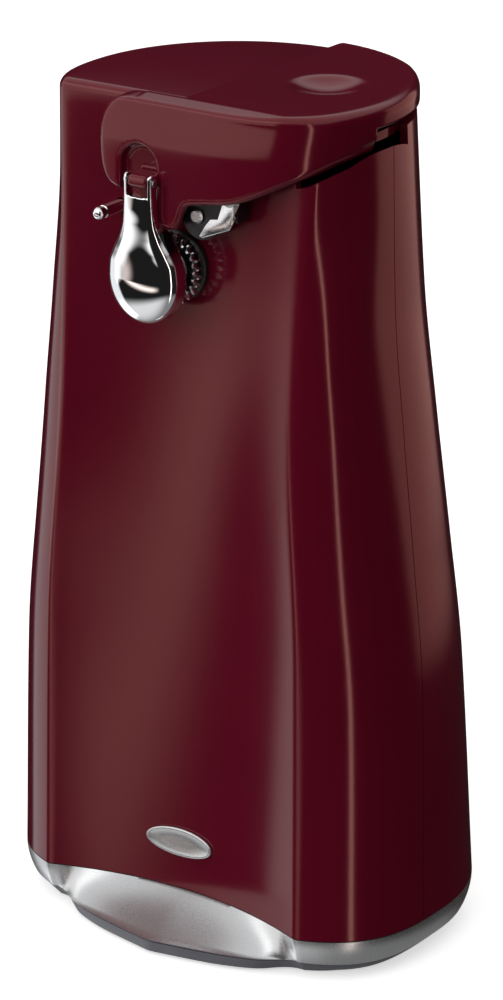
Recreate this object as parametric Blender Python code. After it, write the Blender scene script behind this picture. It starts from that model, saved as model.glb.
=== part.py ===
"""Electric can opener: a flared tower with a flat deck, a hand lever and hood, and a geared drive.

Lengths below are in millimetres; MM turns them into Blender's metres. The origin is the centre of
the footprint on the table, +Z is up and the working face looks along -Y.
"""

import math

import bmesh
import bpy
from mathutils import Vector

MM = 0.001

# Gaps
GAP = 0.3                # between touching pieces
RUN = 0.09               # radial clearance of a shaft in its bush

# Tower: half-width, depth and corners of the plan at a few heights
DECK_Z = 240.0
TOWER_Z = 12.3           # lower edge of the housings
SHELL = 2.4              # wall thickness of the housings
EDGE_R = 2.6             # rounding of the deck's rim
WIDTH_AT = ((12, 80, 115, 150, 185, 240), (65.0, 62.2, 58.2, 53.8, 49.9, 47.7))
CREASE_X_AT = ((12, 90, 160, 240), (42.5, 41.6, 37.5, 41.3))
CREASE_Y_AT = ((12, 120, 240), (-41.9, -39.0, -32.3))
REAR_Y_AT = ((12, 120, 240), (51.0, 45.0, 39.2))
MIDDLE_Y_AT = ((12, 240), (-33.3, -31.5))
WIDEST_Y_AT = ((12, 240), (-2.3, -8.5))
FRONT_POWER_AT = ((12, 240), (3.1, 2.8))
REAR_POWER_AT = ((12, 240), (2.2, 2.0))
SEAM_Y_AT = ((12, 240), (-11.75, -5.0))
SPLIT_Z = 233.0          # the rear cover ends here, under the deck's rim

# Foot
SKIRT_TOP_Z = 12.0
SKIRT_FOOT_Z = 4.0
SKIRT_INSET = 2.2
PLATE_TOP_Z = 3.7
PLATE_FOOT_Z = 0.6
FOOT_R = 6.0
FOOT_POINTS = 8          # points of the foot's outline from its middle to a crease
FEET = ((-38, -24), (38, -24), (-38, 30), (38, 30))
BULGE_AT = ((0, 19, 31.5, 39.5, 42.5), (-52.5, -48.7, -44.9, -39.7, -39.0))

# Fastenings, cord inlet and badge
SCREWS = ((-33, 208), (33, 208), (-46, 44), (46, 44))
FRONT_BOSS_R = 3.6
REAR_BOSS_R = 4.8
BOSS_MEET_Y = 15.0
INLET_Z = 28.0
BADGE_X = -2.0
BADGE_Z = 26.5
BADGE_SIZE = (11.0, 4.2)

# Hand lever: it turns about an axis along Y at the left end of the hood
LEVER_X = -12.0
LEVER_Z = 232.0
LEVER_PIN_R = 2.0
LEVER_TOP_Z = 241.3
LEVER_UNDER_Z = 235.2
LEVER_R = 48.3           # plan radius of the plate
LEVER_CENTRE_Y = -7.7
LEVER_WALL = 2.5
HOOD_BACK_Y = -33.0
SKIRT_END_Y = -12.8      # the side skirt stops here
SEAM_X = 0.5             # edge of the fixed half of the deck
RECESS_Z = 233.0         # floor under the plate
HOOD_FRONT_AT = ((205, 220, 229, 233, 236, 239, 240, 240.9, 241.3),
                 (-43.2, -42.55, -42.1, -41.5, -40.9, -40.2, -39.8, -38.1, -36.5))
HOOD_CORNER = 12.0       # rounding of the hood's front right corner in plan, in degrees and mm
HOOD_OUTLINE = ((-21.8, 229), (-21, 222), (-18.5, 217.5), (-13, 215), (-2.5, 209), (1.5, 207.3),
                (4.5, 208.4), (6.5, 213), (9, 214.9), (21, 216.9), (28, 219.6), (35.6, 223.4),
                (39.9, 225.4), (43.5, 227.6), (46.4, 229.4), (48.0, 231.6), (52, 232.5))
HOOD_END_R = 9.8         # round left end of the hood, about the lever's axis
HOOD_LEFT_X = -26.0      # the outline trims the hood from here to its round end
HOOD_FOLD = 0.6          # least depth of the hood in front of its back face
CORE_LEFT_X = 0.8        # left side of the hollow under the plate
WELL_DROP = 2.3          # how far the housing is cut below the hood's edge
WELL_INSET = 3.4
DISH = (24.0, -1.0, 10.0, 2.4)   # thumb dish: x, y, rim radius, depth

# Magnet arm: it hangs on a pin along X, in a recess of the hood
ARM_X = -5.3
ARM_PIN_Y = -45.0
ARM_PIN_Z = 220.2
ARM_PIN_R = 0.9
ARM_WALL = 1.1
ARM_RIM_Y = -39.8
ARM_NECK_Y = -43.5       # back edge of the neck
ARM_EAR_R = 2.2          # round top of the two ears, about the pin
ARM_STEP_Z = 207.0       # the side wall steps back here, from cup to neck
ARM_FORK_Z = 216.4       # bottom of the gap between the ears
ARM_FLOOR_Z = 185.0      # the room inside the cup ends a wall's thickness higher below this
# Height, half-width, front and shoulder of the side wall
ARM_LEVELS = ((180.9, 0.9, -44.6, -43.0), (181.8, 4.2, -45.9, -43.2), (183.5, 6.9, -46.9, -43.3),
              (186.2, 9.2, -47.7, -43.4), (189.8, 10.8, -48.2, -43.5), (193.5, 11.2, -48.4, -43.5),
              (197.2, 10.8, -48.4, -43.6), (201.0, 9.1, -48.2, -43.9), (205.0, 6.8, -47.9, -44.6),
              (209.0, 5.2, -47.5, -45.4), (213.0, 4.6, -47.2, -45.9), (218.0, 4.4, -47.0, -46.1),
              (222.4, 4.3, -47.0, -46.2))
MAGNET_R = 7.2
MAGNET_Z = 193.6
RECESS_X = -8.2
RECESS_W = 11.6
RECESS_TOP_Z = 228.9
RECESS_Y = -39.2
LUG_W = 6.0
LUG_R = 1.9

# Cutter, under the hood
CUTTER_X = 8.6
CUTTER_Z = 211.6
MOUNT_RIGHT_X = 21.4
MOUNT_TAB_Z = 226.0      # above this the mount is a thin tab behind the hood's front
BLADE_Y = (-39.4, -38.8)
BLADE_OUTLINE = ((9.6, 206.4), (10.6, 206.0), (19.4, 209.6), (21.4, 213.1), (20.8, 213.6), (22.6, 217.4),
                 (22.6, 220.4), (17.2, 220.4), (17.2, 216.4), (15.6, 211.9), (13.2, 211.5), (11.6, 209.6))
BLADE_SCREW = (19.4, 217.8)
GUIDE_X = -21.0
GUIDE_Z = 208.2
GUIDE_R = 1.75

# Drive wheel and gear train, all on axes along Y
WHEEL_X = -2.0
WHEEL_Z = 195.0
WHEEL_R = 10.0
WHEEL_TEETH = 26
WHEEL_TOOTH = 1.5
BUSH_R = 5.5
BEZEL_R = 9.6
SHAFT_R = 3.0
MODULE = 0.8
PINION_TEETH = 11
GEAR_TEETH = 44
SPACING = MODULE * (PINION_TEETH + GEAR_TEETH) / 2
AXLE_R = 1.6
LAYER_1 = (-20.0, -15.0)         # output gear
LAYER_2 = (-13.6, -9.8)          # second wheel
LAYER_3 = (-8.4, -5.0)           # first wheel
PLATE_FRONT = (-24.0, -22.0)
PLATE_REAR = (-2.0, 0.0)
POSTS = ((-23, 209), (23, 209), (-23, 122), (23, 122))
OUTPUT = (WHEEL_X, WHEEL_Z)
STEP_2 = -68.0           # direction from the output gear to the second stage, in degrees
STEP_1 = -112.0
STEP_0 = -90.0

# Motor
ROTOR_R = 12.9
ROTOR_SHAFT_R = 2.0
STACK = (2.0, 22.0)              # laminations, along Y
BRACKET = (24.0, 25.6)

BURGUNDY = ((0.095, 0.004, 0.012), 0.16, 0.0)
SILVER = ((0.42, 0.44, 0.46), 0.34, 0.9)
GREY = ((0.12, 0.125, 0.14), 0.5, 0.0)
BLACK = ((0.01, 0.01, 0.011), 0.45, 0.0)
CHROME = ((0.85, 0.86, 0.88), 0.06, 1.0)
STEEL = ((0.5, 0.5, 0.5), 0.3, 1.0)
NYLON = ((0.75, 0.73, 0.66), 0.5, 0.0)
COPPER = ((0.6, 0.22, 0.09), 0.35, 0.9)
BRONZE = ((0.5, 0.3, 0.14), 0.35, 1.0)
RUBBER = ((0.015, 0.015, 0.016), 0.8, 0.0)
FERRITE = ((0.04, 0.04, 0.045), 0.6, 0.2)


# ---------------------------------------------------------------- tools

def along(table, z):
    """Smooth curve through a table of (heights, values): cubic pieces with no overshoot."""
    heights, values = table
    z = min(max(z, heights[0]), heights[-1])
    spans = [b - a for a, b in zip(heights, heights[1:])]
    rises = [(b - a) / s for a, b, s in zip(values, values[1:], spans)]
    slopes = [rises[0]]
    for left, right in zip(rises, rises[1:]):
        slopes.append(2 * left * right / (left + right) if left * right > 0 else 0.0)
    slopes.append(rises[-1])
    i = min(sum(z > h for h in heights[1:]), len(spans) - 1)
    t = (z - heights[i]) / spans[i]
    low, high = values[i], values[i + 1]
    ease = t * t * (3 - 2 * t)
    start = slopes[i] * spans[i] * t * (1 - t) ** 2
    end = slopes[i + 1] * spans[i] * t * t * (t - 1)
    return low + (high - low) * ease + start + end


def material(name, look):
    made = bpy.data.materials.get(name) or bpy.data.materials.new(name)
    made.use_nodes = True
    shader = made.node_tree.nodes["Principled BSDF"]
    colour, roughness, metallic = look
    shader.inputs["Base Color"].default_value = (*colour, 1)
    shader.inputs["Roughness"].default_value = roughness
    shader.inputs["Metallic"].default_value = metallic
    return made


def add(name, bm, look=None, origin=(0, 0, 0)):
    """Makes an object from a bmesh in millimetres, with its origin where a joint needs it."""
    bmesh.ops.recalc_face_normals(bm, faces=bm.faces)
    if bm.calc_volume(signed=True) < 0:
        bmesh.ops.reverse_faces(bm, faces=bm.faces)
    bmesh.ops.triangulate(bm, faces=bm.faces)
    bmesh.ops.translate(bm, vec=-Vector(origin), verts=bm.verts)
    bmesh.ops.scale(bm, vec=(MM, MM, MM), verts=bm.verts)
    mesh = bpy.data.meshes.new(name)
    bm.to_mesh(mesh)
    bm.free()
    obj = bpy.data.objects.new(name, mesh)
    obj.location = Vector(origin) * MM
    bpy.context.scene.collection.objects.link(obj)
    if look:
        mesh.materials.append(material(name, look))
        mesh.shade_smooth()
        mesh.set_sharp_from_angle(angle=math.radians(32))
    return obj


def helper(name, bm):
    """A cutter: it shapes other pieces and is no piece itself."""
    obj = add(name, bm)
    obj.hide_render = True
    obj.display_type = "WIRE"
    return obj


def boolean(obj, operation, *others, solver="EXACT"):
    for other in others:
        change = obj.modifiers.new(operation.lower(), "BOOLEAN")
        change.operation = operation
        change.solver = solver
        change.object = other
    return obj


def cut(obj, *others):
    return boolean(obj, "DIFFERENCE", *others)


def join(obj, *others):
    return boolean(obj, "UNION", *others)


def shape_closed(obj, operation, *others):
    """For pieces whose faces lie in one plane with their cutters', where the EXACT solver fails."""
    return boolean(obj, operation, *others, solver="MANIFOLD")


def loft(rings, closed_ends=True):
    """Skin over rings with the same number of points each; `closed_ends` caps the two ends."""
    bm = bmesh.new()
    rows = [[bm.verts.new(p) for p in ring] for ring in rings]
    for low, high in zip(rows, rows[1:]):
        for i in range(len(low)):
            j = (i + 1) % len(low)
            bm.faces.new((low[i], low[j], high[j], high[i]))
    if closed_ends:
        bm.faces.new(rows[0])
        bm.faces.new(rows[-1])
    return bm


def prism_z(outline, low, high):
    return loft([[(x, y, z) for x, y in outline] for z in (low, high)])


def prism_y(outline, low, high):
    """Outline in X and Z, carried along Y."""
    return loft([[(x, y, z) for x, z in outline] for y in (low, high)])


def prism_x(outline, low, high):
    """Outline in Y and Z, carried along X."""
    return loft([[(x, y, z) for y, z in outline] for x in (low, high)])


def box(low, high):
    (x0, y0, z0), (x1, y1, z1) = low, high
    return prism_z(((x0, y0), (x1, y0), (x1, y1), (x0, y1)), z0, z1)


def circle(radius, count, x=0.0, y=0.0):
    turn = 2 * math.pi / count
    return [(x + radius * math.cos(turn * i), y + radius * math.sin(turn * i)) for i in range(count)]


def rod_y(x, z, radius, low, high, count=24):
    return prism_y(circle(radius, count, x, z), low, high)


def turned_y(x, z, profile, count=24):
    """Solid of revolution about an axis along Y; `profile` lists (y, radius) from end to end."""
    return loft([[(px, y, pz) for px, pz in circle(r, count, x, z)] for y, r in profile])


def rod_x(y, z, radius, low, high, count=16):
    return prism_x(circle(radius, count, y, z), low, high)


def rod_z(x, y, radius, low, high, count=24):
    return prism_z(circle(radius, count, x, y), low, high)


# ---------------------------------------------------------------- tower

def plan(z, inset=0.0, front=5, side=6, rear=8):
    """Right-hand half of the tower's plan, then its mirror: a hollow-faced front panel between two
    creases, and round sides and rear."""
    wide = along(WIDTH_AT, z)
    crease_x = along(CREASE_X_AT, z)
    crease_y = along(CREASE_Y_AT, z)
    middle_y = along(MIDDLE_Y_AT, z)
    widest_y = along(WIDEST_Y_AT, z)
    power = along(FRONT_POWER_AT, z)
    rear_power = along(REAR_POWER_AT, z)
    rear_y = along(REAR_Y_AT, z)
    depth = (widest_y - crease_y) / (1 - (crease_x / wide) ** power) ** (1 / power)
    half = []
    for i in range(front):
        x = crease_x * i / front
        half.append((x, middle_y + (crease_y - middle_y) * (x / crease_x) ** 2))
    start = math.acos((crease_x / wide) ** (power / 2))
    for i in range(side):
        t = start * (1 - i / side)
        half.append((wide * math.cos(t) ** (2 / power), widest_y - depth * math.sin(t) ** (2 / power)))
    for i in range(rear + 1):
        t = math.pi / 2 * i / rear
        x = wide * max(math.cos(t), 0.0) ** (2 / rear_power)
        half.append((x, widest_y + (rear_y - widest_y) * math.sin(t) ** (2 / rear_power)))
    ring = half + [(-x, y) for x, y in half[-2:0:-1]]
    return offset(ring, inset) if inset else ring


def offset(ring, inset):
    """Moves a counter-clockwise outline inwards by the given distance."""
    moved = []
    count = len(ring)
    for i in range(count):
        before, here, after = (Vector(ring[(i + k) % count]) for k in (-1, 0, 1))
        one = (here - before).normalized()
        two = (after - here).normalized()
        normal = Vector((-(one.y + two.y), one.x + two.x)).normalized()
        stretch = max(normal.dot(Vector((-one.y, one.x))), 0.5)
        moved.append(tuple(here + normal * inset / stretch))
    return moved


def tower(levels):
    """Solid of the tower from (height, inset) pairs, lowest first."""
    return loft([[(x, y, z) for x, y in plan(z, inset)] for z, inset in levels])


def tower_levels():
    levels = [(z, 0.0) for z in (TOWER_Z, 34, 58, 82, 106, 130, 154, 178, 202, 222)]
    for step in range(4):
        angle = math.pi / 2 * step / 3
        levels.append((DECK_Z - EDGE_R * (1 - math.sin(angle)), EDGE_R * (1 - math.cos(angle))))
    return levels


def seam_block(name, shift, high, front):
    """Everything on one side of the leaning seam between the housings, up to a height."""
    seam = [along(SEAM_Y_AT, z) + shift for z in (0, 260)]
    far = -90 if front else 90
    low_ring = ((-90, far, 0), (90, far, 0), (90, seam[0], 0), (-90, seam[0], 0))
    top_y = seam[0] + (seam[1] - seam[0]) * high / 260
    high_ring = ((-90, far, high), (90, far, high), (90, top_y, high), (-90, top_y, high))
    return helper(name, loft([low_ring, high_ring]))


def well_cutter():
    """Room for the lever's side skirt, which lies flush with the housing."""
    outline = [(36, 250), (36, 222)]
    outline += [(x, z - WELL_DROP) for x, z in HOOD_OUTLINE if 37 < x < 50]
    outline += [(70, 229.5), (70, 250)]
    well = helper("well_cutter", prism_y(outline, -60, 3.5))
    core_outline = plan(228, WELL_INSET)
    core = helper("well_core", prism_z(core_outline, 200, 260))
    return cut(well, core)


def front_housing():
    body = add("front_housing", tower(tower_levels()), BURGUNDY)
    hollow = helper("front_hollow", tower([(0, SHELL), (60, SHELL), (120, SHELL), (180, SHELL),
                                           (218, SHELL), (222, 6.2), (230.6, 6.2)]))
    pocket = helper("deck_pocket", box((-36, -24, 229), (-3, 24, 237.4)))
    recess = helper("lever_recess", box((SEAM_X, -80, RECESS_Z), (80, 80, 260)))
    slot = helper("rib_slot", box((21, -23, 228), (28, -13, 235)))
    behind = seam_block("behind_seam", -GAP / 2, SPLIT_Z + GAP / 2, False)
    core = helper("deck_core", prism_z(plan(231, SHELL + GAP), 230.3, 260))
    cut(behind, core)
    cut(body, hollow, pocket, recess, well_cutter(), slot, behind)
    within = helper("boss_limit", tower([(z, SHELL / 2) for z in (20, 60, 120, 180, 222)]))
    for i, (x, z) in enumerate(SCREWS):
        boss = helper(f"front_boss_{i}", rod_y(x, z, FRONT_BOSS_R, -60, BOSS_MEET_Y, 16))
        join(body, boolean(boss, "INTERSECT", within))
    holes = [helper(f"front_boss_hole_{i}", rod_y(x, z, 1.65, -20, 40, 12)) for i, (x, z) in enumerate(SCREWS)]
    bush_hole = helper("bush_hole", rod_y(WHEEL_X, WHEEL_Z, BUSH_R + GAP, -60, -20))
    pin_hole = helper("lever_pin_hole", rod_y(LEVER_X, LEVER_Z, LEVER_PIN_R + RUN, -60, -20, 20))
    guide_hole = helper("guide_hole", rod_y(GUIDE_X, GUIDE_Z, GUIDE_R + GAP, -60, -28.9, 16))
    cut(body, *holes, bush_hole, pin_hole, guide_hole)


def rear_cover():
    body = add("rear_cover", tower(tower_levels()), BURGUNDY)
    hollow = helper("rear_hollow", tower([(0, SHELL), (60, SHELL), (120, SHELL), (180, SHELL), (250, SHELL)]))
    ahead = seam_block("ahead_of_seam", GAP / 2, 260, True)
    over = helper("above_split", box((-90, -90, SPLIT_Z - GAP / 2), (90, 90, 260)))
    cut(body, hollow, ahead, over, bpy.data.objects["well_cutter"])
    for i, (x, z) in enumerate(SCREWS):
        boss = helper(f"rear_boss_{i}", rod_y(x, z, REAR_BOSS_R, BOSS_MEET_Y + GAP, 60, 16))
        join(body, boolean(boss, "INTERSECT", bpy.data.objects["boss_limit"]))
    for i, (x, z) in enumerate(SCREWS):
        cut(body, helper(f"rear_boss_hole_{i}", rod_y(x, z, 1.65, 0, 40, 12)))
        cut(body, helper(f"rear_counterbore_{i}", rod_y(x, z, 3.3, 18.5, 60, 16)))
    cut(body, helper("inlet_hole", rod_y(0, INLET_Z, 5.6, 40, 60, 20)))


def housing_screws():
    for i, (x, z) in enumerate(SCREWS):
        screw = add(f"housing_screw_{i + 1}",
                    turned_y(x, z, ((-8, 1.3), (18.8, 1.3), (18.8, 2.9), (20.4, 2.9), (21.0, 2.2)), 12), STEEL)
        cut(screw, helper(f"screw_cross_{i}", box((x - 1.8, 20.2, z - 0.4), (x + 1.8, 22, z + 0.4))))


def cord_inlet():
    y = along(REAR_Y_AT, INLET_Z)
    ring = add("cord_inlet", turned_y(0, INLET_Z, ((y - 6, 5.2), (y + 0.5, 5.2), (y + 0.5, 7.2),
                                                   (y + 1.4, 6.6)), 24), BLACK)
    cut(ring, helper("inlet_bore", rod_y(0, INLET_Z, 3.2, 30, 70, 20)))


# ---------------------------------------------------------------- foot

def foot_plan(inset=0.0):
    """Lower edge of the skirt: the sides of the tower drawn in, and a bulging front."""
    ring = []
    for (x, y), (px, py) in zip(plan(12, SKIRT_INSET, FOOT_POINTS), plan(12, 0.0, FOOT_POINTS)):
        in_front = abs(px) < along(CREASE_X_AT, 12) - 0.01 and py < -20
        ring.append((px, along(BULGE_AT, abs(px))) if in_front else (x, y))
    return offset(ring, inset) if inset else ring


def skirt_rings(inset, drop):
    """Rings of the skirt's surface from its lower edge to its top edge: a straight ledge in front,
    slightly round sides."""
    low = foot_plan(inset)
    high = plan(12, inset, FOOT_POINTS)
    crease_x = along(CREASE_X_AT, 12)
    rings = []
    for share, rise, swell in ((0.0, 0.0, 0.0), (0.35, 0.42, 0.25), (0.75, 0.8, 0.2), (1.0, 1.0, 0.0)):
        z = SKIRT_FOOT_Z + (SKIRT_TOP_Z - SKIRT_FOOT_Z) * rise - drop
        ring = []
        for (x0, y0), (x1, y1) in zip(low, high):
            ledge = abs(x1) < crease_x - 1 and y1 < -20
            here = share if ledge else share + swell
            ring.append((x0 + (x1 - x0) * here, y0 + (y1 - y0) * here, z))
        rings.append(ring)
    return rings


def base_skirt():
    skirt = add("base_skirt", loft(skirt_rings(0.0, 0.0)), SILVER)
    rings = skirt_rings(2.4, 2.0)
    rings[0] = [(x, y, 0.0) for x, y, z in rings[0]]
    through = helper("skirt_bore", prism_z(plan(12, 7.0), -5, 20))
    cut(skirt, helper("skirt_hollow", loft(rings)), through)


def plate_outline(z):
    """The plate's edge runs inwards towards the table at the sides, and stands upright in front."""
    share = (PLATE_TOP_Z - z) / (PLATE_TOP_Z - PLATE_FOOT_Z)
    ring = foot_plan(0.4)
    taper = offset(ring, 0.4 + 3.4 * share)
    outline = []
    for (x, y), (tx, ty) in zip(ring, taper):
        weight = min(max((y + 50) / 16, 0.12), 1.0)
        outline.append((x + (tx - x) * weight, y + (ty - y) * weight, z))
    return outline


def bottom_plate():
    plate = add("bottom_plate", loft([plate_outline(PLATE_FOOT_Z), plate_outline(2.0),
                                      plate_outline(PLATE_TOP_Z)]), GREY)
    for i, (x, y) in enumerate(FEET):
        shape_closed(plate, "DIFFERENCE", helper(f"foot_pocket_{i}", rod_z(x, y, FOOT_R + GAP, 0, 1.9)))
        foot = turned_z(x, y, ((0.0, FOOT_R - 0.6), (0.5, FOOT_R), (1.6, FOOT_R)))
        add(f"foot_{i + 1}", foot, RUBBER)


def turned_z(x, y, profile, count=20):
    return loft([[(px, py, z) for px, py in circle(r, count, x, y)] for z, r in profile])


def panel_y(x, z):
    """Surface of the hollow front panel."""
    middle = along(MIDDLE_Y_AT, z)
    return middle + (along(CREASE_Y_AT, z) - middle) * (x / along(CREASE_X_AT, z)) ** 2


def badge():
    """Plain oval plate on the panel, with no mark on it."""
    rim = circle(1.0, 28)
    rings = []
    for lift, share in ((GAP, 1.0), (GAP + 0.5, 1.0), (GAP + 0.8, 0.9)):
        ring = []
        for u, v in rim:
            x = BADGE_X + u * BADGE_SIZE[0] * share
            z = BADGE_Z + v * BADGE_SIZE[1] * share
            ring.append((x, panel_y(x, z) - lift, z))
        rings.append(ring)
    add("badge", loft(rings), SILVER)


# ---------------------------------------------------------------- lever, hood and cutter

def hood_plan(z, shrink, left, back):
    """Plan of the lever at a height: a round plate, cut off by the hood's front."""
    front = min(along(HOOD_FRONT_AT, z) + shrink, HOOD_BACK_Y - HOOD_FOLD)
    radius = LEVER_R - shrink
    corner = math.asin((front - LEVER_CENTRE_Y) / radius)
    reach = corner + math.radians(HOOD_CORNER)
    top = math.asin((back - LEVER_CENTRE_Y) / radius) if back < 30 else math.acos(left / radius)
    ring = []
    for i in range(19):
        angle = top + (reach - top) * i / 18
        ring.append((radius * math.cos(angle), LEVER_CENTRE_Y + radius * math.sin(angle)))
    start = Vector(ring[-1])
    tip = Vector((radius * math.cos(corner), front))
    end = tip - Vector((HOOD_CORNER, 0))
    for i in range(1, 6):
        t = i / 5
        ring.append(tuple(start * (1 - t) ** 2 + tip * 2 * t * (1 - t) + end * t * t))
    return ring, front


def hood_ring(z, shrink, left):
    ring, front = hood_plan(z, shrink, left, 99)
    ring += [(HOOD_LEFT_X, front), (HOOD_LEFT_X, HOOD_BACK_Y), (left, HOOD_BACK_Y)]
    return [(x, y, z) for x, y in ring]


def hood_levels():
    """(height, shrink, left edge): the left edge leans so that it clears the deck as it lifts."""
    return ((204, 0, 3.1), (212, 0, 3.1), (220, 0, 3.1), (226, 0, 3.1), (231, 0, 3.1), (235, 0, 3.1),
            (238.6, 0, 1.8), (240, 0.5, 1.4), (240.9, 1.6, 1.1), (LEVER_TOP_Z, 2.7, 0.9))


def hand_lever():
    lever = add("hand_lever", loft([hood_ring(*level) for level in hood_levels()]), BURGUNDY,
                (LEVER_X, HOOD_BACK_Y, LEVER_Z))
    end = []
    for i in range(7):
        angle = math.radians(90 + 105 * i / 6)
        end.append((LEVER_X + HOOD_END_R * math.cos(angle), LEVER_Z + HOOD_END_R * math.sin(angle)))
    outline = [(52, 245), (-11, 245)] + end + list(HOOD_OUTLINE)
    shape_closed(lever, "INTERSECT", helper("hood_outline", prism_y(outline, -60, 60)))
    rings = []
    for z in (200, 212, 220, 226, 231, LEVER_UNDER_Z):
        ring, front = hood_plan(z, LEVER_WALL, CORE_LEFT_X, SKIRT_END_Y + 1)
        rings.append([(x, y, z) for x, y in ring] + [(CORE_LEFT_X, front, z), (CORE_LEFT_X, SKIRT_END_Y + 1, z)])
    hollow = helper("hood_hollow", loft(rings))
    under = helper("under_plate", box((-2, SKIRT_END_Y, 190), (60, 60, LEVER_UNDER_Z)))
    shape_closed(lever, "DIFFERENCE", hollow, under)
    half = RECESS_W / 2
    arch = [(RECESS_X - half, 190), (RECESS_X + half, 190)]
    for i in range(9):
        angle = math.pi * i / 8
        arch.append((RECESS_X + half * math.cos(angle), RECESS_TOP_Z - half * (1 - math.sin(angle))))
    shape_closed(lever, "DIFFERENCE", helper("arm_recess", prism_y(arch, -60, RECESS_Y)))
    round_end = [(ARM_PIN_Y + LUG_R * math.cos(math.radians(a)), ARM_PIN_Z + LUG_R * math.sin(math.radians(a)))
                 for a in range(90, 271, 30)]
    side = round_end + [(RECESS_Y + 1, ARM_PIN_Z - LUG_R), (RECESS_Y + 1, ARM_PIN_Z + LUG_R)]
    lug = prism_x(side, ARM_X - LUG_W / 2, ARM_X + LUG_W / 2)
    rib = box((23, -21, 230.2), (26, -15, LEVER_UNDER_Z + 1))
    shape_closed(lever, "UNION", helper("arm_lug", lug), helper("press_rib", rib))
    x, y, rim, depth = DISH
    ball_r = (rim ** 2 + depth ** 2) / (2 * depth)
    ball = bmesh.new()
    bmesh.ops.create_icosphere(ball, subdivisions=4, radius=ball_r)
    bmesh.ops.translate(ball, vec=(x, y, LEVER_TOP_Z + ball_r - depth), verts=ball.verts)
    pin_bore = helper("lever_bore", rod_y(LEVER_X, LEVER_Z, LEVER_PIN_R + RUN, -36.8, -20, 20))
    arm_bore = helper("arm_pin_bore", rod_x(ARM_PIN_Y, ARM_PIN_Z, ARM_PIN_R + RUN, ARM_X - 4, ARM_X + 4, 12))
    shape_closed(lever, "DIFFERENCE", helper("thumb_dish", ball), pin_bore, arm_bore)


def lever_pin():
    add("lever_pivot_pin", turned_y(LEVER_X, LEVER_Z, ((-36.4, LEVER_PIN_R - 0.4), (-36.0, LEVER_PIN_R),
                                                       (-13.5, LEVER_PIN_R)), 20), STEEL)


def cutter():
    mount = add("cutter_mount", rod_y(CUTTER_X + 1, CUTTER_Z - 0.4, 6.0, -38.5, -34.8, 28), BLACK)
    left = CUTTER_X - 4
    stem = helper("mount_stem", box((left, -38.5, CUTTER_Z), (MOUNT_RIGHT_X, -33.3, MOUNT_TAB_Z)))
    tab = helper("mount_tab", box((left, -34.6, MOUNT_TAB_Z - 1), (MOUNT_RIGHT_X, -33.3, LEVER_UNDER_Z - GAP)))
    join(mount, stem, tab)
    cut(mount, helper("mount_bore", rod_y(CUTTER_X, CUTTER_Z, 1.3, -50, -30, 12)))
    cut(mount, helper("blade_screw_bore", rod_y(*BLADE_SCREW, 1.3, -50, -34.9, 12)))
    blade = add("cutter_blade", prism_y(BLADE_OUTLINE, *BLADE_Y), STEEL)
    cut(blade, helper("blade_bore", rod_y(*BLADE_SCREW, 1.3, -50, -30, 12)))
    add("cutter_screw", turned_y(CUTTER_X, CUTTER_Z, ((-39.6, 1.5), (-39.1, 2.0), (-38.8, 2.0), (-38.8, 1.0),
                                                      (-35.2, 1.0)), 14), STEEL)
    add("blade_screw", turned_y(*BLADE_SCREW, ((-40.0, 1.6), (-39.8, 2.0), (-39.5, 2.0), (-39.5, 1.0),
                                               (-35.4, 1.0)), 14), STEEL)


def arm_skin(name, wall, look=None):
    """The arm's outer skin, or with a wall thickness the room inside it: a domed front over straight
    side walls, from the round end of the cup up to the prongs."""
    rings = []
    for z, half, front, shoulder in ARM_LEVELS:
        half -= wall
        z += wall if z < ARM_FLOOR_Z else 0
        front += wall
        shoulder = max(shoulder, front) if half > 0.3 else front
        back = ARM_RIM_Y + (3 if wall else 0)
        half = max(half, 0.3)
        ring = [(ARM_X - half, back, z), (ARM_X - half, shoulder, z)]
        for i in range(1, 10):
            angle = math.pi * i / 10
            ring.append((ARM_X - half * math.cos(angle), shoulder + (front - shoulder) * math.sin(angle), z))
        ring += [(ARM_X + half, shoulder, z), (ARM_X + half, back, z)]
        rings.append(ring)
    return add(name, loft(rings), look, (ARM_X, ARM_PIN_Y, ARM_PIN_Z)) if look else helper(name, loft(rings))


def magnet_arm():
    """Pressed shell, open towards the can: a narrow neck that widens to a round cup."""
    arm = arm_skin("magnet_arm", 0.0, CHROME)
    hollow = arm_skin("arm_hollow", ARM_WALL)
    outside = [(-30, ARM_STEP_Z), (ARM_NECK_Y, ARM_STEP_Z), (ARM_NECK_Y, ARM_PIN_Z)]
    for degrees in (45, 67, 90, 113, 135, 157, 180):
        angle = math.radians(degrees)
        outside.append((ARM_PIN_Y + ARM_EAR_R * math.cos(angle), ARM_PIN_Z + ARM_EAR_R * math.sin(angle)))
    outside += [(-60, ARM_PIN_Z), (-60, 240), (-30, 240)]
    back = helper("neck_back", prism_x(outside, ARM_X - 20, ARM_X + 20))
    ear = LUG_W / 2 + GAP
    fork = helper("fork_slot", box((ARM_X - ear, -60, ARM_FORK_Z), (ARM_X + ear, -30, 230)))
    bore = helper("fork_bore", rod_x(ARM_PIN_Y, ARM_PIN_Z, ARM_PIN_R + RUN, ARM_X - 8, ARM_X + 8, 12))
    cut(arm, hollow, back, fork, bore)
    add("magnet_arm_pin", rod_x(ARM_PIN_Y, ARM_PIN_Z, ARM_PIN_R, ARM_X - 4.8, ARM_X + 4.8, 12), STEEL)
    add("magnet", turned_y(ARM_X, MAGNET_Z, ((-45.8, MAGNET_R - 0.6), (-45.4, MAGNET_R), (-40.6, MAGNET_R),
                                             (-40.2, MAGNET_R - 0.4)), 24), FERRITE)


def guide_pin():
    add("guide_pin", turned_y(GUIDE_X, GUIDE_Z, ((-43.6, 0.7), (-43.3, 1.3), (-42.5, GUIDE_R),
                                                 (-29.2, GUIDE_R)), 16), CHROME)


# ---------------------------------------------------------------- drive

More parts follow.
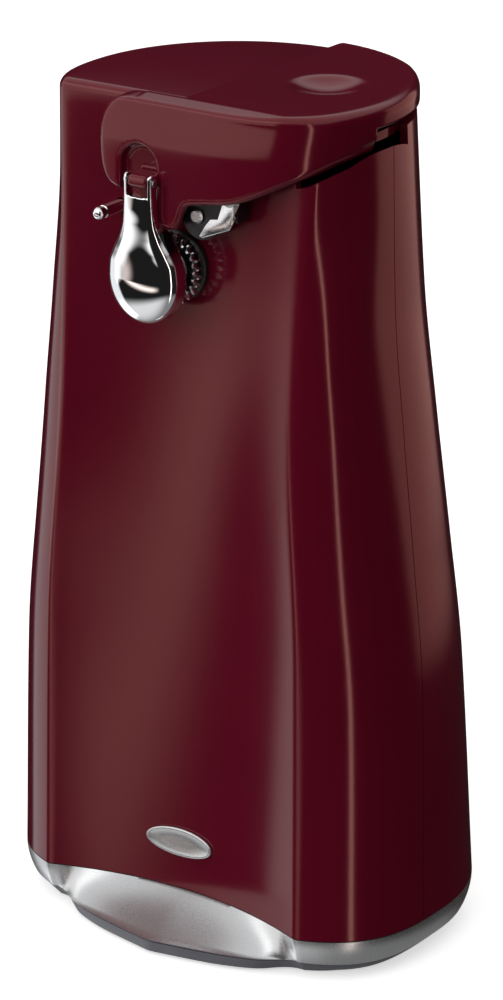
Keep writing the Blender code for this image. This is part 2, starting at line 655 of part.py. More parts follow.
def gear_outline(teeth, x, z, phase):
    """Tooth outline with room for backlash; one tooth points along `phase`."""
    pitch = MODULE * teeth / 2
    root, tip = pitch - 1.15 * MODULE, pitch + 0.75 * MODULE
    step = 2 * math.pi / teeth
    ring = []
    for i in range(teeth):
        for turn, radius in ((-0.27, root), (-0.10, tip), (0.10, tip), (0.27, root)):
            angle = phase + step * (i + turn)
            ring.append((x + radius * math.cos(angle), z + radius * math.sin(angle)))
    return ring


def centre(start, degrees):
    angle = math.radians(degrees)
    return start[0] + SPACING * math.cos(angle), start[1] + SPACING * math.sin(angle)


STAGE_2 = centre(OUTPUT, STEP_2)
STAGE_1 = centre(STAGE_2, STEP_1)
MOTOR = centre(STAGE_1, STEP_0)


def facing(degrees, teeth):
    """Phase that puts a gap of the small gear over the tooth that points at it."""
    return math.radians(degrees) + math.pi + math.pi / teeth


def compound_gear(name, at, wheel_layer, pinion_layer, wheel_phase, pinion_phase):
    x, z = at
    gear = add(name, prism_y(gear_outline(GEAR_TEETH, x, z, wheel_phase), *wheel_layer), NYLON, (x, 0, z))
    low, high = sorted((pinion_layer[0], wheel_layer[1] - 0.5))
    pinion = helper(f"{name}_pinion", prism_y(gear_outline(PINION_TEETH, x, z, pinion_phase), low, high))
    join(gear, pinion)
    cut(gear, helper(f"{name}_bore", rod_y(x, z, AXLE_R + RUN, -40, 40, 20)))
    add(f"{name}_axle", rod_y(x, z, AXLE_R, PLATE_FRONT[0] - 0.6, PLATE_REAR[1] + 0.6, 20), STEEL)


def drive():
    x, z = OUTPUT
    wheel_ring = []
    for i in range(WHEEL_TEETH * 2):
        radius = WHEEL_R if i % 2 else WHEEL_R - WHEEL_TOOTH
        angle = math.pi * i / WHEEL_TEETH
        wheel_ring.append((x + radius * math.cos(angle), z + radius * math.sin(angle)))
    bore = helper("shaft_bore", rod_y(x, z, SHAFT_R + 0.25, -60, 60))
    wheel = add("drive_wheel", prism_y(wheel_ring, -37.6, -35.2), STEEL, (x, 0, z))
    cut(wheel, bore)
    gear = add("output_gear", prism_y(gear_outline(GEAR_TEETH, x, z, math.radians(STEP_2)), *LAYER_1),
               STEEL, (x, 0, z))
    cut(gear, bore)
    add("drive_shaft", rod_y(x, z, SHAFT_R, -38.0, PLATE_REAR[1] + 1.5), STEEL, (x, 0, z))
    add("wheel_nut", rod_y(x, z, 5.0, -39.2, -38.3, 6), STEEL, (x, 0, z))
    bush = add("front_bush", rod_y(x, z, BUSH_R, -33.8, -26.6), BRONZE)
    cut(bush, helper("shaft_run", rod_y(x, z, SHAFT_R + RUN, -60, 60)))
    bezel = add("drive_bezel", rod_y(x, z, BEZEL_R, -34.2, -32.4, 32), BLACK)
    cut(bezel, helper("bezel_bore", rod_y(x, z, BUSH_R + GAP, -60, 0)))
    compound_gear("second_gear", STAGE_2, LAYER_2, LAYER_1, math.radians(STEP_1),
                  facing(STEP_2, PINION_TEETH))
    compound_gear("first_gear", STAGE_1, LAYER_3, LAYER_2, math.radians(STEP_0),
                  facing(STEP_1, PINION_TEETH))


def gear_plates():
    outline = ((-27, 118), (27, 118), (27, 213), (-27, 213))
    for name, span in (("gear_plate_front", PLATE_FRONT), ("gear_plate_rear", PLATE_REAR)):
        plate = add(name, prism_y(outline, *span), STEEL)
        holes = [(STAGE_2, AXLE_R + 0.2), (STAGE_1, AXLE_R + 0.2), (OUTPUT, SHAFT_R + 0.2)]
        if span == PLATE_REAR:
            holes.append((MOTOR, 4.4))
        for i, ((x, z), radius) in enumerate(holes):
            cut(plate, helper(f"{name}_hole_{i}", rod_y(x, z, radius, -60, 60, 20)))
    for i, (x, z) in enumerate(POSTS):
        add(f"spacer_post_{i + 1}", rod_y(x, z, 2.6, PLATE_FRONT[1] + GAP, PLATE_REAR[0] - GAP, 12), STEEL)


def motor():
    x, z = MOTOR
    pinion = add("motor_pinion", prism_y(gear_outline(PINION_TEETH, x, z, facing(STEP_0, PINION_TEETH)),
                                         LAYER_3[0] - 0.6, LAYER_3[1] + 0.6), STEEL, (x, 0, z))
    cut(pinion, helper("pinion_bore", rod_y(x, z, ROTOR_SHAFT_R + 0.2, -40, 40, 16)))
    rotor = add("rotor", turned_y(x, z, ((2.2, ROTOR_R - 0.6), (2.8, ROTOR_R), (21.2, ROTOR_R),
                                         (21.8, ROTOR_R - 0.6)), 32), STEEL, (x, 0, z))
    cut(rotor, helper("rotor_bore", rod_y(x, z, ROTOR_SHAFT_R + 0.25, -40, 60, 16)))
    add("rotor_shaft", rod_y(x, z, ROTOR_SHAFT_R, -9.6, 28.5, 16), STEEL, (x, 0, z))
    stack = add("motor_stator", box((x - 27, STACK[0], z - 40), (x + 27, STACK[1], z + 21)), STEEL)
    window = helper("stator_window", box((x - 17.6, -40, z - 30), (x + 17.6, 60, z - 17.5)))
    cut(stack, helper("stator_bore", rod_y(x, z, ROTOR_R + 0.6, -40, 60, 32)), window)
    for side in (-1, 1):
        cut(stack, helper(f"stator_hole_{side + 1}", rod_y(x + side * 22, z + 15.5, 1.9, -40, 60, 12)))
    hole = helper("leg_room", box((x - 40, STACK[0] - GAP, z - 40 - GAP), (x + 40, STACK[1] + GAP, z - 30 + GAP)))
    bobbin = add("coil_bobbin", box((x - 16.4, STACK[0] - 1.3, z - 41.3), (x + 16.4, STACK[1] + 1.3, z - 28.7)),
                 NYLON)
    for side in (-1, 1):
        low, high = sorted((x + side * 15.4, x + side * 16.4))
        join(bobbin, helper(f"flange_{side + 1}", box((low, STACK[0] - 7, z - 47), (high, STACK[1] + 7, z - 18.2))))
    cut(bobbin, hole)
    coil = add("field_coil", box((x - 15.0, STACK[0] - 6.2, z - 46.2), (x + 15.0, STACK[1] + 6.2, z - 19)), COPPER)
    cut(coil, helper("bobbin_room", box((x - 40, STACK[0] - 1.6, z - 41.6), (x + 40, STACK[1] + 1.6, z - 28.4))))
    bracket = add("motor_bracket", box((x - 27, BRACKET[0], z - 9), (x + 27, BRACKET[1], z + 20)), STEEL)
    cut(bracket, helper("bracket_bore", rod_y(x, z, 4.4, -40, 60, 20)))
    for name, span in (("motor_bush_front", (-2.6, 0.8)), ("motor_bush_rear", (23.4, 27.4))):
        bush = add(name, rod_y(x, z, 4.1, *span, 20), BRONZE)
        cut(bush, helper(f"{name}_bore", rod_y(x, z, ROTOR_SHAFT_R + RUN, -60, 60, 16)))
    for side in (-1, 1):
        at = (x + side * 22, z + 15.5)
        cut(bracket, helper(f"bracket_hole_{side + 1}", rod_y(*at, 1.9, -40, 60, 12)))
        add(f"motor_screw_{1 if side < 0 else 2}",
            turned_y(*at, ((0.3, 1.5), (25.9, 1.5), (25.9, 2.9), (27.8, 2.9)), 12), STEEL)


# ---------------------------------------------------------------- switch

def switch():
    arm = [(LEVER_X + 4.4 * math.cos(math.radians(a)), LEVER_Z + 4.4 * math.sin(math.radians(a)))
           for a in range(20, 250, 30)]
    rocker = add("switch_rocker", prism_y(arm + [(-10, 226.6), (29.5, 226.6), (29.5, 229.9), (-6, 229.9)],
                                          -20.5, -15.5), GREY, (LEVER_X, 0, LEVER_Z))
    cut(rocker, helper("rocker_bore", rod_y(LEVER_X, LEVER_Z, LEVER_PIN_R + RUN, -40, 0, 20)))
    body = add("switch_body", box((20.5, -21.5, 213.6), (31.5, -14.5, 224.4)), BLACK)
    cut(body, helper("plunger_room", box((23.4, -19.6, 218.5), (26.6, -16.4, 226))))
    add("switch_plunger", box((23.7, -19.3, 220.2), (26.3, -16.7, 226.3)), NYLON)
    add("lever_return_spring", coil_tube(8.0, -18.0, 2.2, 0.35, 218.2, 226.3, 6), STEEL)
    add("spring_seat", box((3.6, -21.5, 215.4), (12.4, -14.5, 217.7)), GREY)


def coil_tube(x, y, radius, wire, low, high, turns, per_turn=12, sides=5):
    """Open coil spring standing along Z."""
    rings = []
    rise = (high - low - 2 * wire) / (turns * per_turn)
    for i in range(turns * per_turn + 1):
        angle = 2 * math.pi * i / per_turn
        out = Vector((math.cos(angle), math.sin(angle), 0))
        middle = Vector((x, y, low + wire + rise * i)) + out * radius
        ring = []
        for k in range(sides):
            turn = 2 * math.pi * k / sides
            ring.append(middle + out * wire * math.cos(turn) + Vector((0, 0, wire * math.sin(turn))))
        rings.append(ring)
    return loft(rings)


def clear_scene():
    for obj in list(bpy.data.objects):
        bpy.data.objects.remove(obj, do_unlink=True)


def main():
    clear_scene()
    front_housing()
    rear_cover()
    housing_screws()
    cord_inlet()
    base_skirt()
    bottom_plate()
    badge()
    hand_lever()
    lever_pin()
    cutter()
    magnet_arm()
    guide_pin()
    drive()
    gear_plates()
    motor()
    switch()


main()
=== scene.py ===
"""Looks of the electric can opener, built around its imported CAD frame.

Lengths are in millimetres in the frame's axes: origin at the centre of the footprint, +Z up, the
working face along -Y. MM turns them into metres. The housings and the foot are dense skins over the
tower's sections; the hand lever and the magnet arm are surfaces of a distance field, which rounds
their edges.
"""

import math

import bmesh
import bpy
import numpy as np
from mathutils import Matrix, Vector
from mathutils.bvhtree import BVHTree


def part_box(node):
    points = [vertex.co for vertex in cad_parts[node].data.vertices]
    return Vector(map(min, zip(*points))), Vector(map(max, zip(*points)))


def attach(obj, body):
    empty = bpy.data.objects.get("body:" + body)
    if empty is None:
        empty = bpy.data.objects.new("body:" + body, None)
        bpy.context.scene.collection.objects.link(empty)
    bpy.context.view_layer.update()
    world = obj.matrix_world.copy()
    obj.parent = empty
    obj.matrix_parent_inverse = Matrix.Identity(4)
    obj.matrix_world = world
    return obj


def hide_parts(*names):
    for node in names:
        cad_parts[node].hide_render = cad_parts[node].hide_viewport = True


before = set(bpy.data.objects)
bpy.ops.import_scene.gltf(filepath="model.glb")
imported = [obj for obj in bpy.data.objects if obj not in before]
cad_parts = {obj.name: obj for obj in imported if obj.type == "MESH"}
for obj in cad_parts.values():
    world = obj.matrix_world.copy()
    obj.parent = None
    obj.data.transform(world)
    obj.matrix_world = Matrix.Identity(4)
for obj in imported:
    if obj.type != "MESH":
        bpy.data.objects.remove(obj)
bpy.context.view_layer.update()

MM = 0.001
GAP = 0.3                # between fixed pieces
RUN = 0.09               # radial clearance of a turning piece

# Tower. A name ending in _AT is a table of places, mostly heights, and the values there.
DECK_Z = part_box("front_housing")[1].z / MM
TOWER_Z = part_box("front_housing")[0].z / MM
SHELL = 2.4
EDGE_R = 2.6
WIDTH_AT = ((12, 80, 115, 150, 185, 240), (65.0, 62.2, 58.2, 53.8, 49.9, 47.7))
CREASE_X_AT = ((12, 90, 160, 240), (42.5, 41.6, 37.5, 41.3))
CREASE_Y_AT = ((12, 120, 240), (-41.9, -39.0, -32.3))
REAR_Y_AT = ((12, 120, 240), (51.0, 45.0, 39.2))
MIDDLE_Y_AT = ((12, 240), (-33.3, -31.5))
WIDEST_Y_AT = ((12, 240), (-2.3, -8.5))
FRONT_POWER_AT = ((12, 120, 178, 216, 240), (3.1, 3.5, 4.2, 2.9, 2.8))
REAR_POWER_AT = ((12, 240), (2.2, 2.0))
SEAM_Y_AT = ((12, 240), (-11.75, -5.0))
SOFT_AT = ((12, 120, 240), (0.8, 1.2, 2.6))       # how soft the crease beside the front panel is
SPLIT_Z = 233.0
SCREWS = ((-33, 208), (33, 208), (-46, 44), (46, 44))
FRONT_BOSS_R = 3.6
REAR_BOSS_R = 4.8
BOSS_MEET_Y = 15.0
SCREW_HOLE_R = 1.65
HEAD_HOLE_R = 3.3
HEAD_HOLE_Y = 18.5
CEILING_Z = 230.6        # underside of the deck
INLET_Z = 28.0
INLET_HOLE_R = 5.6

# Foot
SKIRT_TOP_Z = 12.0
SKIRT_FOOT_Z = 4.0
SKIRT_INSET = 2.2
PLATE_TOP_Z = 3.7
PLATE_FOOT_Z = 0.6
FOOT_R = 6.0
POCKET_Z = 1.9
BULGE_AT = ((0, 19, 31.5, 39.5, 42.5), (-52.5, -48.7, -44.9, -39.7, -39.0))     # by distance from the middle

# Hand lever and hood
LEVER_X = -12.0
LEVER_Z = 232.0
LEVER_PIN_R = 2.0
LEVER_TOP_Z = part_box("hand_lever")[1].z / MM
LEVER_UNDER_Z = 235.2
LEVER_R = 48.3
LEVER_CENTRE_Y = -7.7
LEVER_WALL = 2.5
HOOD_BACK_Y = -33.0
SKIRT_END_Y = -12.8
SEAM_X = 0.5
RECESS_Z = 233.0
HOOD_OUTLINE = ((-21.8, 229), (-21, 222), (-18.5, 217.5), (-13, 215), (-2.5, 209), (1.5, 207.3),
                (4.5, 208.4), (6.5, 213), (9, 214.9), (21, 216.9), (28, 219.6), (35.6, 223.4),
                (39.9, 225.4), (43.5, 227.6), (46.4, 229.4), (48.0, 231.6), (52, 232.5))
HOOD_END_R = 9.8
HOOD_FRONT_AT = ((205, 220, 229, 233, 236, 239, 241), (-43.1, -42.5, -42.1, -41.4, -40.6, -40.0, -39.9))
SEAM_EDGE_AT = ((235.0, 238.6, 240.3, 241.3), (3.1, 1.8, 1.3, 0.9))              # left edge of the plate
TOP_SLOPE = 0.16         # the plate's front slopes down to the hood's fold
FOLD_R = 1.6
CORNER_R = 14.0          # front right corner in plan
PIN_HOLE_BACK_Y = -36.8
RIB = ((24.5, -18.0, 233.2), (1.5, 3.0, 3.0))     # middle and half sizes of the rib that presses the switch
WELL_DROP = 2.3
WELL_INSET = 3.4
DISH = (24.0, -1.0, 10.0, 2.4)                    # x, y, radius and depth of the thumb dish

# Magnet arm
ARM_X = -5.3
ARM_PIN_Y = -45.0
ARM_PIN_Z = 220.2
ARM_PIN_R = 0.9
ARM_WALL = 1.1
ARM_RIM_Y = -39.8
ARM_NECK_Y = -43.5
ARM_EAR_R = 2.2
ARM_FORK_Z = 216.4
CUP_Z = 193.5
CUP_DROP = 12.6
ARM_HALF_AT = ((193.5, 197.2, 201.0, 205.0, 209.0, 213.0, 218.0, 223.0),
               (11.2, 10.8, 9.1, 6.8, 5.2, 4.6, 4.4, 4.35))
ARM_FRONT_AT = ((193.5, 201.0, 209.0, 213.0, 223.0), (-48.4, -48.2, -47.5, -47.2, -47.0))
ARM_SHOULDER_AT = ((193.5, 201.0, 209.0, 213.0, 223.0), (-43.5, -43.9, -45.4, -45.9, -46.2))
RECESS_X = -8.2
RECESS_W = 11.6
RECESS_TOP_Z = 228.9
RECESS_Y = -39.2
LUG_W = 6.0
LUG_R = 1.9

# Drive wheel, cutter, guide pin and badge
WHEEL_X = -2.0
WHEEL_Z = 195.0
WHEEL_R = 10.0
WHEEL_TEETH = 26
WHEEL_TOOTH = 1.5
SHAFT_R = 3.0
BUSH_R = 5.5
BEZEL_R = 9.6
CUTTER_X = 8.6
CUTTER_Z = 211.6
MOUNT_RIGHT_X = 21.4
MOUNT_TAB_Z = 226.0
BLADE_Y = (-39.4, -38.8)
BLADE_OUTLINE = ((9.6, 206.4), (10.6, 206.0), (19.4, 209.6), (21.4, 213.1), (20.8, 213.6), (22.6, 217.4),
                 (22.6, 220.4), (17.2, 220.4), (17.2, 216.4), (15.6, 211.9), (13.2, 211.5), (11.6, 209.6))
BLADE_SCREW = (19.4, 217.8)
GUIDE_X = -21.0
GUIDE_Z = 208.2
GUIDE_R = 1.75
GUIDE_TIP_Y = -43.6
BADGE_X = -2.0
BADGE_Z = 26.5
BADGE_SIZE = (11.0, 4.2)
BADGE_RIM = ((0.0, 0.08), (0.35, 0.0), (0.6, 0.12), (0.7, 0.4), (0.68, 0.8), (0.55, 1.12))   # lift, inset
BADGE_FACE = 0.52        # lift of the flat middle


# ---------------------------------------------------------------- curves and outlines

def along(table, z):
    """Smooth curve through a table of (heights, values), with no overshoot, for one height or many."""
    heights, values = (np.asarray(row, float) for row in table)
    z = np.clip(np.asarray(z, float), heights[0], heights[-1])
    spans = np.diff(heights)
    rises = np.diff(values) / spans
    slopes = np.empty(len(heights))
    slopes[0], slopes[-1] = rises[0], rises[-1]
    for i, (left, right) in enumerate(zip(rises, rises[1:])):
        slopes[i + 1] = 2 * left * right / (left + right) if left * right > 0 else 0.0
    i = np.clip(np.searchsorted(heights, z, side="left") - 1, 0, len(spans) - 1)
    t = (z - heights[i]) / spans[i]
    ease = t * t * (3 - 2 * t)
    start = slopes[i] * spans[i] * t * (1 - t) ** 2
    end = slopes[i + 1] * spans[i] * t * t * (t - 1)
    return values[i] + (values[i + 1] - values[i]) * ease + start + end


def soften(ring, spread):
    """Rounds a closed outline's corners: each point becomes a weighted mean of its neighbours."""
    if spread <= 0:
        return ring
    reach = int(3 * spread) + 1
    weights = [math.exp(-0.5 * (k / spread) ** 2) for k in range(-reach, reach + 1)]
    total = sum(w * np.roll(ring, k, axis=0) for w, k in zip(weights, range(-reach, reach + 1)))
    return total / sum(weights)


def offset(ring, inset):
    """Moves a counter-clockwise outline inwards by the given distance."""
    tangent = np.roll(ring, -1, axis=0) - np.roll(ring, 1, axis=0)
    tangent /= np.linalg.norm(tangent, axis=1)[:, None]
    return ring + inset * np.stack([-tangent[:, 1], tangent[:, 0]], axis=1)


def quarter(across, deep, power, start, stop, count):
    """Quarter of a rounded box curve, its points spread by angle."""
    angle = np.linspace(start, stop, count)
    cos, sin = np.abs(np.cos(angle)), np.abs(np.sin(angle))
    radius = ((cos / across) ** power + (sin / deep) ** power) ** (-1 / power)
    return radius * cos, radius * sin


def plan(z, inset=0.0, front=44, side=56, rear=72, soft=True):
    """The tower's plan at a height: a hollow-faced panel between two creases, round sides and rear."""
    wide, crease_x, crease_y = along(WIDTH_AT, z), along(CREASE_X_AT, z), along(CREASE_Y_AT, z)
    middle_y, widest_y = along(MIDDLE_Y_AT, z), along(WIDEST_Y_AT, z)
    power, rear_power = along(FRONT_POWER_AT, z), along(REAR_POWER_AT, z)
    deep = (widest_y - crease_y) / (1 - (crease_x / wide) ** power) ** (1 / power)
    x0 = crease_x * np.arange(front) / front
    y0 = middle_y + (crease_y - middle_y) * (x0 / crease_x) ** 2
    x1, y1 = quarter(wide, deep, power, math.atan2(widest_y - crease_y, crease_x), 0, side + 1)
    x2, y2 = quarter(wide, along(REAR_Y_AT, z) - widest_y, rear_power, 0, math.pi / 2, rear + 1)
    x = np.concatenate([x0, x1[:-1], x2])
    y = np.concatenate([y0, widest_y - y1[:-1], widest_y + y2])
    half = np.stack([x, y], axis=1)
    mirrored = half[-2:0:-1] * (-1, 1)
    ring = np.concatenate([half, mirrored])
    if soft:
        ring = soften(ring, float(along(SOFT_AT, z)))
    return offset(ring, inset) if inset else ring


def panel_y(x, z):
    """Depth of the hollow front panel at a place on it."""
    middle = along(MIDDLE_Y_AT, z)
    return middle + (along(CREASE_Y_AT, z) - middle) * (x / along(CREASE_X_AT, z)) ** 2


def circle(radius, count, x=0.0, y=0.0):
    angle = np.arange(count) * 2 * math.pi / count
    return np.stack([x + radius * np.cos(angle), y + radius * np.sin(angle)], axis=1)


def smooth_curve(points, steps):
    """Open curve through the points, with the given number of steps between each two."""
    points = np.asarray(points, float)
    last = len(points) - 1
    made = []
    for i in range(last):
        a, b, c, d = (points[min(max(i + k, 0), last)] for k in (-1, 0, 1, 2))
        for t in np.arange(steps) / steps:
            made.append(0.5 * (2 * b + (c - a) * t + (2 * a - 5 * b + 4 * c - d) * t ** 2
                               + (3 * b - a - 3 * c + d) * t ** 3))
    return np.array(made + [points[-1]])


# ---------------------------------------------------------------- meshes

def mesh_object(name, vertices, faces):
    """Smooth mesh from points in millimetres, its faces turned outwards."""
    mesh = bpy.data.meshes.new(name)
    mesh.from_pydata([tuple(v) for v in np.asarray(vertices, float) * MM], [], faces)
    mesh.validate()
    bm = bmesh.new()
    bm.from_mesh(mesh)
    bmesh.ops.recalc_face_normals(bm, faces=bm.faces)
    if bm.calc_volume(signed=True) < 0:
        bmesh.ops.reverse_faces(bm, faces=bm.faces)
    bm.to_mesh(mesh)
    bm.free()
    made = bpy.data.objects.new(name, mesh)
    bpy.context.scene.collection.objects.link(made)
    mesh.shade_smooth()
    return made


def skin(name, rings):
    """Closed skin over rings with the same number of points each."""
    rings = [np.asarray(ring, float) for ring in rings]
    count = len(rings[0])
    faces = [tuple(range(count)), tuple(range((len(rings) - 1) * count, len(rings) * count))]
    for row in range(len(rings) - 1):
        low, high = row * count, (row + 1) * count
        for i in range(count):
            after = (i + 1) % count
            faces.append((low + i, low + after, high + after, high + i))
    return mesh_object(name, np.concatenate(rings), faces)


def at_height(outline, z):
    return np.column_stack([outline, np.full(len(outline), z)])


def at_depth(outline, y):
    outline = np.asarray(outline, float)
    return np.column_stack([outline[:, 0], np.full(len(outline), y), outline[:, 1]])


def prism_z(name, outline, low, high):
    return skin(name, [at_height(np.asarray(outline, float), z) for z in (low, high)])


def prism_y(name, outline, low, high):
    return skin(name, [at_depth(outline, y) for y in (low, high)])


def box(name, low, high):
    (x0, y0, z0), (x1, y1, z1) = low, high
    return prism_z(name, ((x0, y0), (x1, y0), (x1, y1), (x0, y1)), z0, z1)


def turned_y(name, x, z, profile, count=48):
    """Solid of revolution about an axis along Y; the profile lists (y, radius) from end to end."""
    return skin(name, [at_depth(circle(radius, count, x, z), y) for y, radius in profile])


def turned_z(name, x, y, profile, count=48):
    return skin(name, [at_height(circle(radius, count, x, y), z) for z, radius in profile])


def rod_y(name, x, z, radius, low, high, count=48):
    return turned_y(name, x, z, ((low, radius), (high, radius)), count)


def shape(target, operation, *tools, solver="EXACT"):
    """Cuts, joins or intersects a mesh with tools, applies the result, and removes the tools."""
    for tool in tools:
        change = target.modifiers.new("shape", "BOOLEAN")
        change.operation = operation
        change.solver = solver
        change.object = tool
    freeze(target)
    for tool in tools:
        bpy.data.objects.remove(tool)
    return target


def freeze(target):
    """Replaces an object's mesh by the one its modifiers make."""
    graph = bpy.context.evaluated_depsgraph_get()
    made = bpy.data.meshes.new_from_object(target.evaluated_get(graph))
    target.modifiers.clear()
    target.data = made
    return target


def finish_edges(target, width, segments=2, angle=40):
    """Small round edges where two faces meet sharply."""
    bevel = target.modifiers.new("edges", "BEVEL")
    bevel.width = width * MM
    bevel.segments = segments
    bevel.limit_method = "ANGLE"
    bevel.angle_limit = math.radians(angle)
    freeze(target)
    target.data.shade_smooth()
    target.data.set_sharp_from_angle(angle=math.radians(30))
    return target


def carry_normals(target, source, reach=0.03, angle=30):
    """Shades a cut skin like the whole skin it came from, so that a cut leaves no dents in its gloss."""
    mesh = source.data
    tree = BVHTree.FromPolygons([v.co for v in mesh.vertices], [p.vertices[:] for p in mesh.polygons])
    target.data.shade_smooth()
    target.data.set_sharp_from_angle(angle=math.radians(angle))
    data = target.data
    normals = [tuple(n.vector) for n in data.corner_normals]
    limit = math.cos(math.radians(angle))
    cache = {}
    for polygon in data.polygons:
        for loop in polygon.loop_indices:
            vertex = data.loops[loop].vertex_index
            if vertex not in cache:
                cache[vertex] = nearest_normal(tree, mesh, data.vertices[vertex].co, reach * MM)
            found = cache[vertex]
            if found is not None and found.dot(polygon.normal) > limit:
                normals[loop] = tuple(found)
    data.normals_split_custom_set(normals)
    return target


def nearest_normal(tree, mesh, point, reach):
    """Smooth normal of a mesh at the place nearest to a point, or None where none is in reach."""
    place, _, index, distance = tree.find_nearest(point)
    if index is None or distance > reach:
        return None
    total = Vector((0, 0, 0))
    for vertex in mesh.polygons[index].vertices:
        away = (mesh.vertices[vertex].co - place).length
        total += mesh.vertices[vertex].normal / (away + 1e-6)
    return total.normalized()


# ---------------------------------------------------------------- distance fields

def round_max(a, b, radius):
    """Intersection of two fields with a round edge."""
    blend = np.maximum(radius - np.abs(a - b), 0) / radius
    return np.maximum(a, b) + blend * blend * radius / 4


def round_min(a, b, radius):
    """Union of two fields with a filleted joint."""
    return -round_max(-a, -b, radius)


def outline_field(outline, u, v):
    """Signed distance to a closed outline in a plane, negative inside."""
    u, v = np.broadcast_arrays(u, v)
    nearest = np.full(u.shape, np.inf)
    inside = np.zeros(u.shape, bool)
    for (u0, v0), (u1, v1) in zip(outline, np.roll(outline, -1, axis=0)):
        du, dv = u1 - u0, v1 - v0
        t = np.clip(((u - u0) * du + (v - v0) * dv) / (du * du + dv * dv), 0, 1)
        nearest = np.minimum(nearest, (u - u0 - t * du) ** 2 + (v - v0 - t * dv) ** 2)
        if dv != 0:
            crosses = (v0 > v) != (v1 > v)
            inside ^= crosses & (u < u0 + (v - v0) / dv * du)
    return np.where(inside, -1, 1) * np.sqrt(nearest)


def field_gradient(field, points, step=0.02):
    """Slope of a field at each point, by central differences."""
    parts = []
    for axis in range(3):
        ahead, behind = points.copy(), points.copy()
        ahead[:, axis] += step
        behind[:, axis] -= step
        parts.append((field(*ahead.T) - field(*behind.T)) / (2 * step))
    return np.stack(parts, axis=1)


def field_surface(name, field, low, high, cell):
    """Closed quad mesh of the surface where a field is zero, with the field's own normals."""
    axes = [np.arange(a, b + cell, cell) for a, b in zip(low, high)]
    value = field(axes[0][:, None, None], axes[1][None, :, None], axes[2][None, None, :])
    inside = value < 0
    cells = tuple(n - 1 for n in value.shape)
    total = np.zeros((3,) + cells)
    count = np.zeros(cells)
    for axis in range(3):
        others = [k for k in range(3) if k != axis]
        for corner in ((0, 0), (0, 1), (1, 0), (1, 1)):
            near = [slice(0, -1)] * 3
            for k, side in zip(others, corner):
                near[k] = slice(side, side + cells[k])
            far = list(near)
            near[axis], far[axis] = slice(0, -1), slice(1, None)
            a, b = value[tuple(near)], value[tuple(far)]
            crosses = (a < 0) != (b < 0)
            share = np.where(crosses, a / np.where(crosses, a - b, 1), 0)
            count += crosses
            total[axis] += share
            for k, side in zip(others, corner):
                total[k] += crosses * side
    used = count > 0
    number = np.full(cells, -1)
    number[used] = np.arange(used.sum())
    where = np.argwhere(used)
    points = (where + (total[:, used] / count[used]).T) * cell + np.array([a[0] for a in axes])
    faces = []
    for axis in range(3):
        b, c = (axis + 1) % 3, (axis + 2) % 3
        inner = [slice(1, -1)] * 3
        inner[axis] = slice(0, -1)
        after = list(inner)
        after[axis] = slice(1, None)
        start, stop = inside[tuple(inner)], inside[tuple(after)]
        for sign, edges in ((1, start & ~stop), (-1, ~start & stop)):
            at = np.argwhere(edges)
            at[:, b] += 1
            at[:, c] += 1
            ring = []
            for step_b, step_c in ((-1, -1), (0, -1), (0, 0), (-1, 0))[::sign]:
                cell_at = at.copy()
                cell_at[:, b] += step_b
                cell_at[:, c] += step_c
                ring.append(number[tuple(cell_at.T)])
            faces.append(np.stack(ring, axis=1))
    faces = np.concatenate(faces)
    for _ in range(4):
        slope = field_gradient(field, points)
        move = slope * (field(*points.T) / np.maximum((slope ** 2).sum(axis=1), 0.25))[:, None]
        length = np.linalg.norm(move, axis=1)[:, None]
        points -= move * np.minimum(1, 0.4 * cell / np.maximum(length, 1e-9))
    made = mesh_object(name, points, faces.tolist())
    normals = field_gradient(field, points)
    normals /= np.linalg.norm(normals, axis=1)[:, None] + 1e-12
    made.data.normals_split_custom_set_from_vertices([tuple(n) for n in normals])
    return made


# ---------------------------------------------------------------- housings

def tower(name, inset=0.0, low=TOWER_Z, high=DECK_Z, levels=64, rim=0.0):
    """Skin of the tower between two heights, with a round rim at the top."""
    heights = [(z, inset) for z in np.linspace(low, high - rim, levels)]
    if rim:
        for angle in np.linspace(0, math.pi / 2, 9)[1:]:
            heights.append((high - rim * (1 - math.sin(angle)), inset + rim * (1 - math.cos(angle))))
    return skin(name, [at_height(plan(z, move), z) for z, move in heights])


def seam_block(name, shift, high, front):
    """Everything on one side of the leaning seam between the housings, up to a height."""
    y0 = SEAM_Y_AT[1][0] + shift
    y1 = y0 + (SEAM_Y_AT[1][1] - SEAM_Y_AT[1][0]) * high / SEAM_Y_AT[0][1]
    far = -90 if front else 90
    low_ring = [(-90, far, 0), (90, far, 0), (90, y0, 0), (-90, y0, 0)]
    high_ring = [(-90, far, high), (90, far, high), (90, y1, high), (-90, y1, high)]
    return skin(name, [low_ring, high_ring])


def well_tools():
    """Room beside the tower for the lever's side skirt."""
    outline = [(36, 250), (36, 222)]
    outline += [(x, z - WELL_DROP) for x, z in HOOD_OUTLINE if 37 < x < 50]
    outline += [(70, 229.5), (70, 250)]
    well = prism_y("well", outline, -60, 3.5)
    core = prism_z("well_core", plan(228, WELL_INSET), 200, 260)
    return shape(well, "DIFFERENCE", core)


def boss(name, radius, x, z, low, high):
    """Screw boss between two depths, ending inside the tower's wall."""
    return shape(rod_y(name, x, z, radius, low, high, 32), "INTERSECT",
                 tower("boss_limit", SHELL / 2, 20, 222, 12), solver="MANIFOLD")


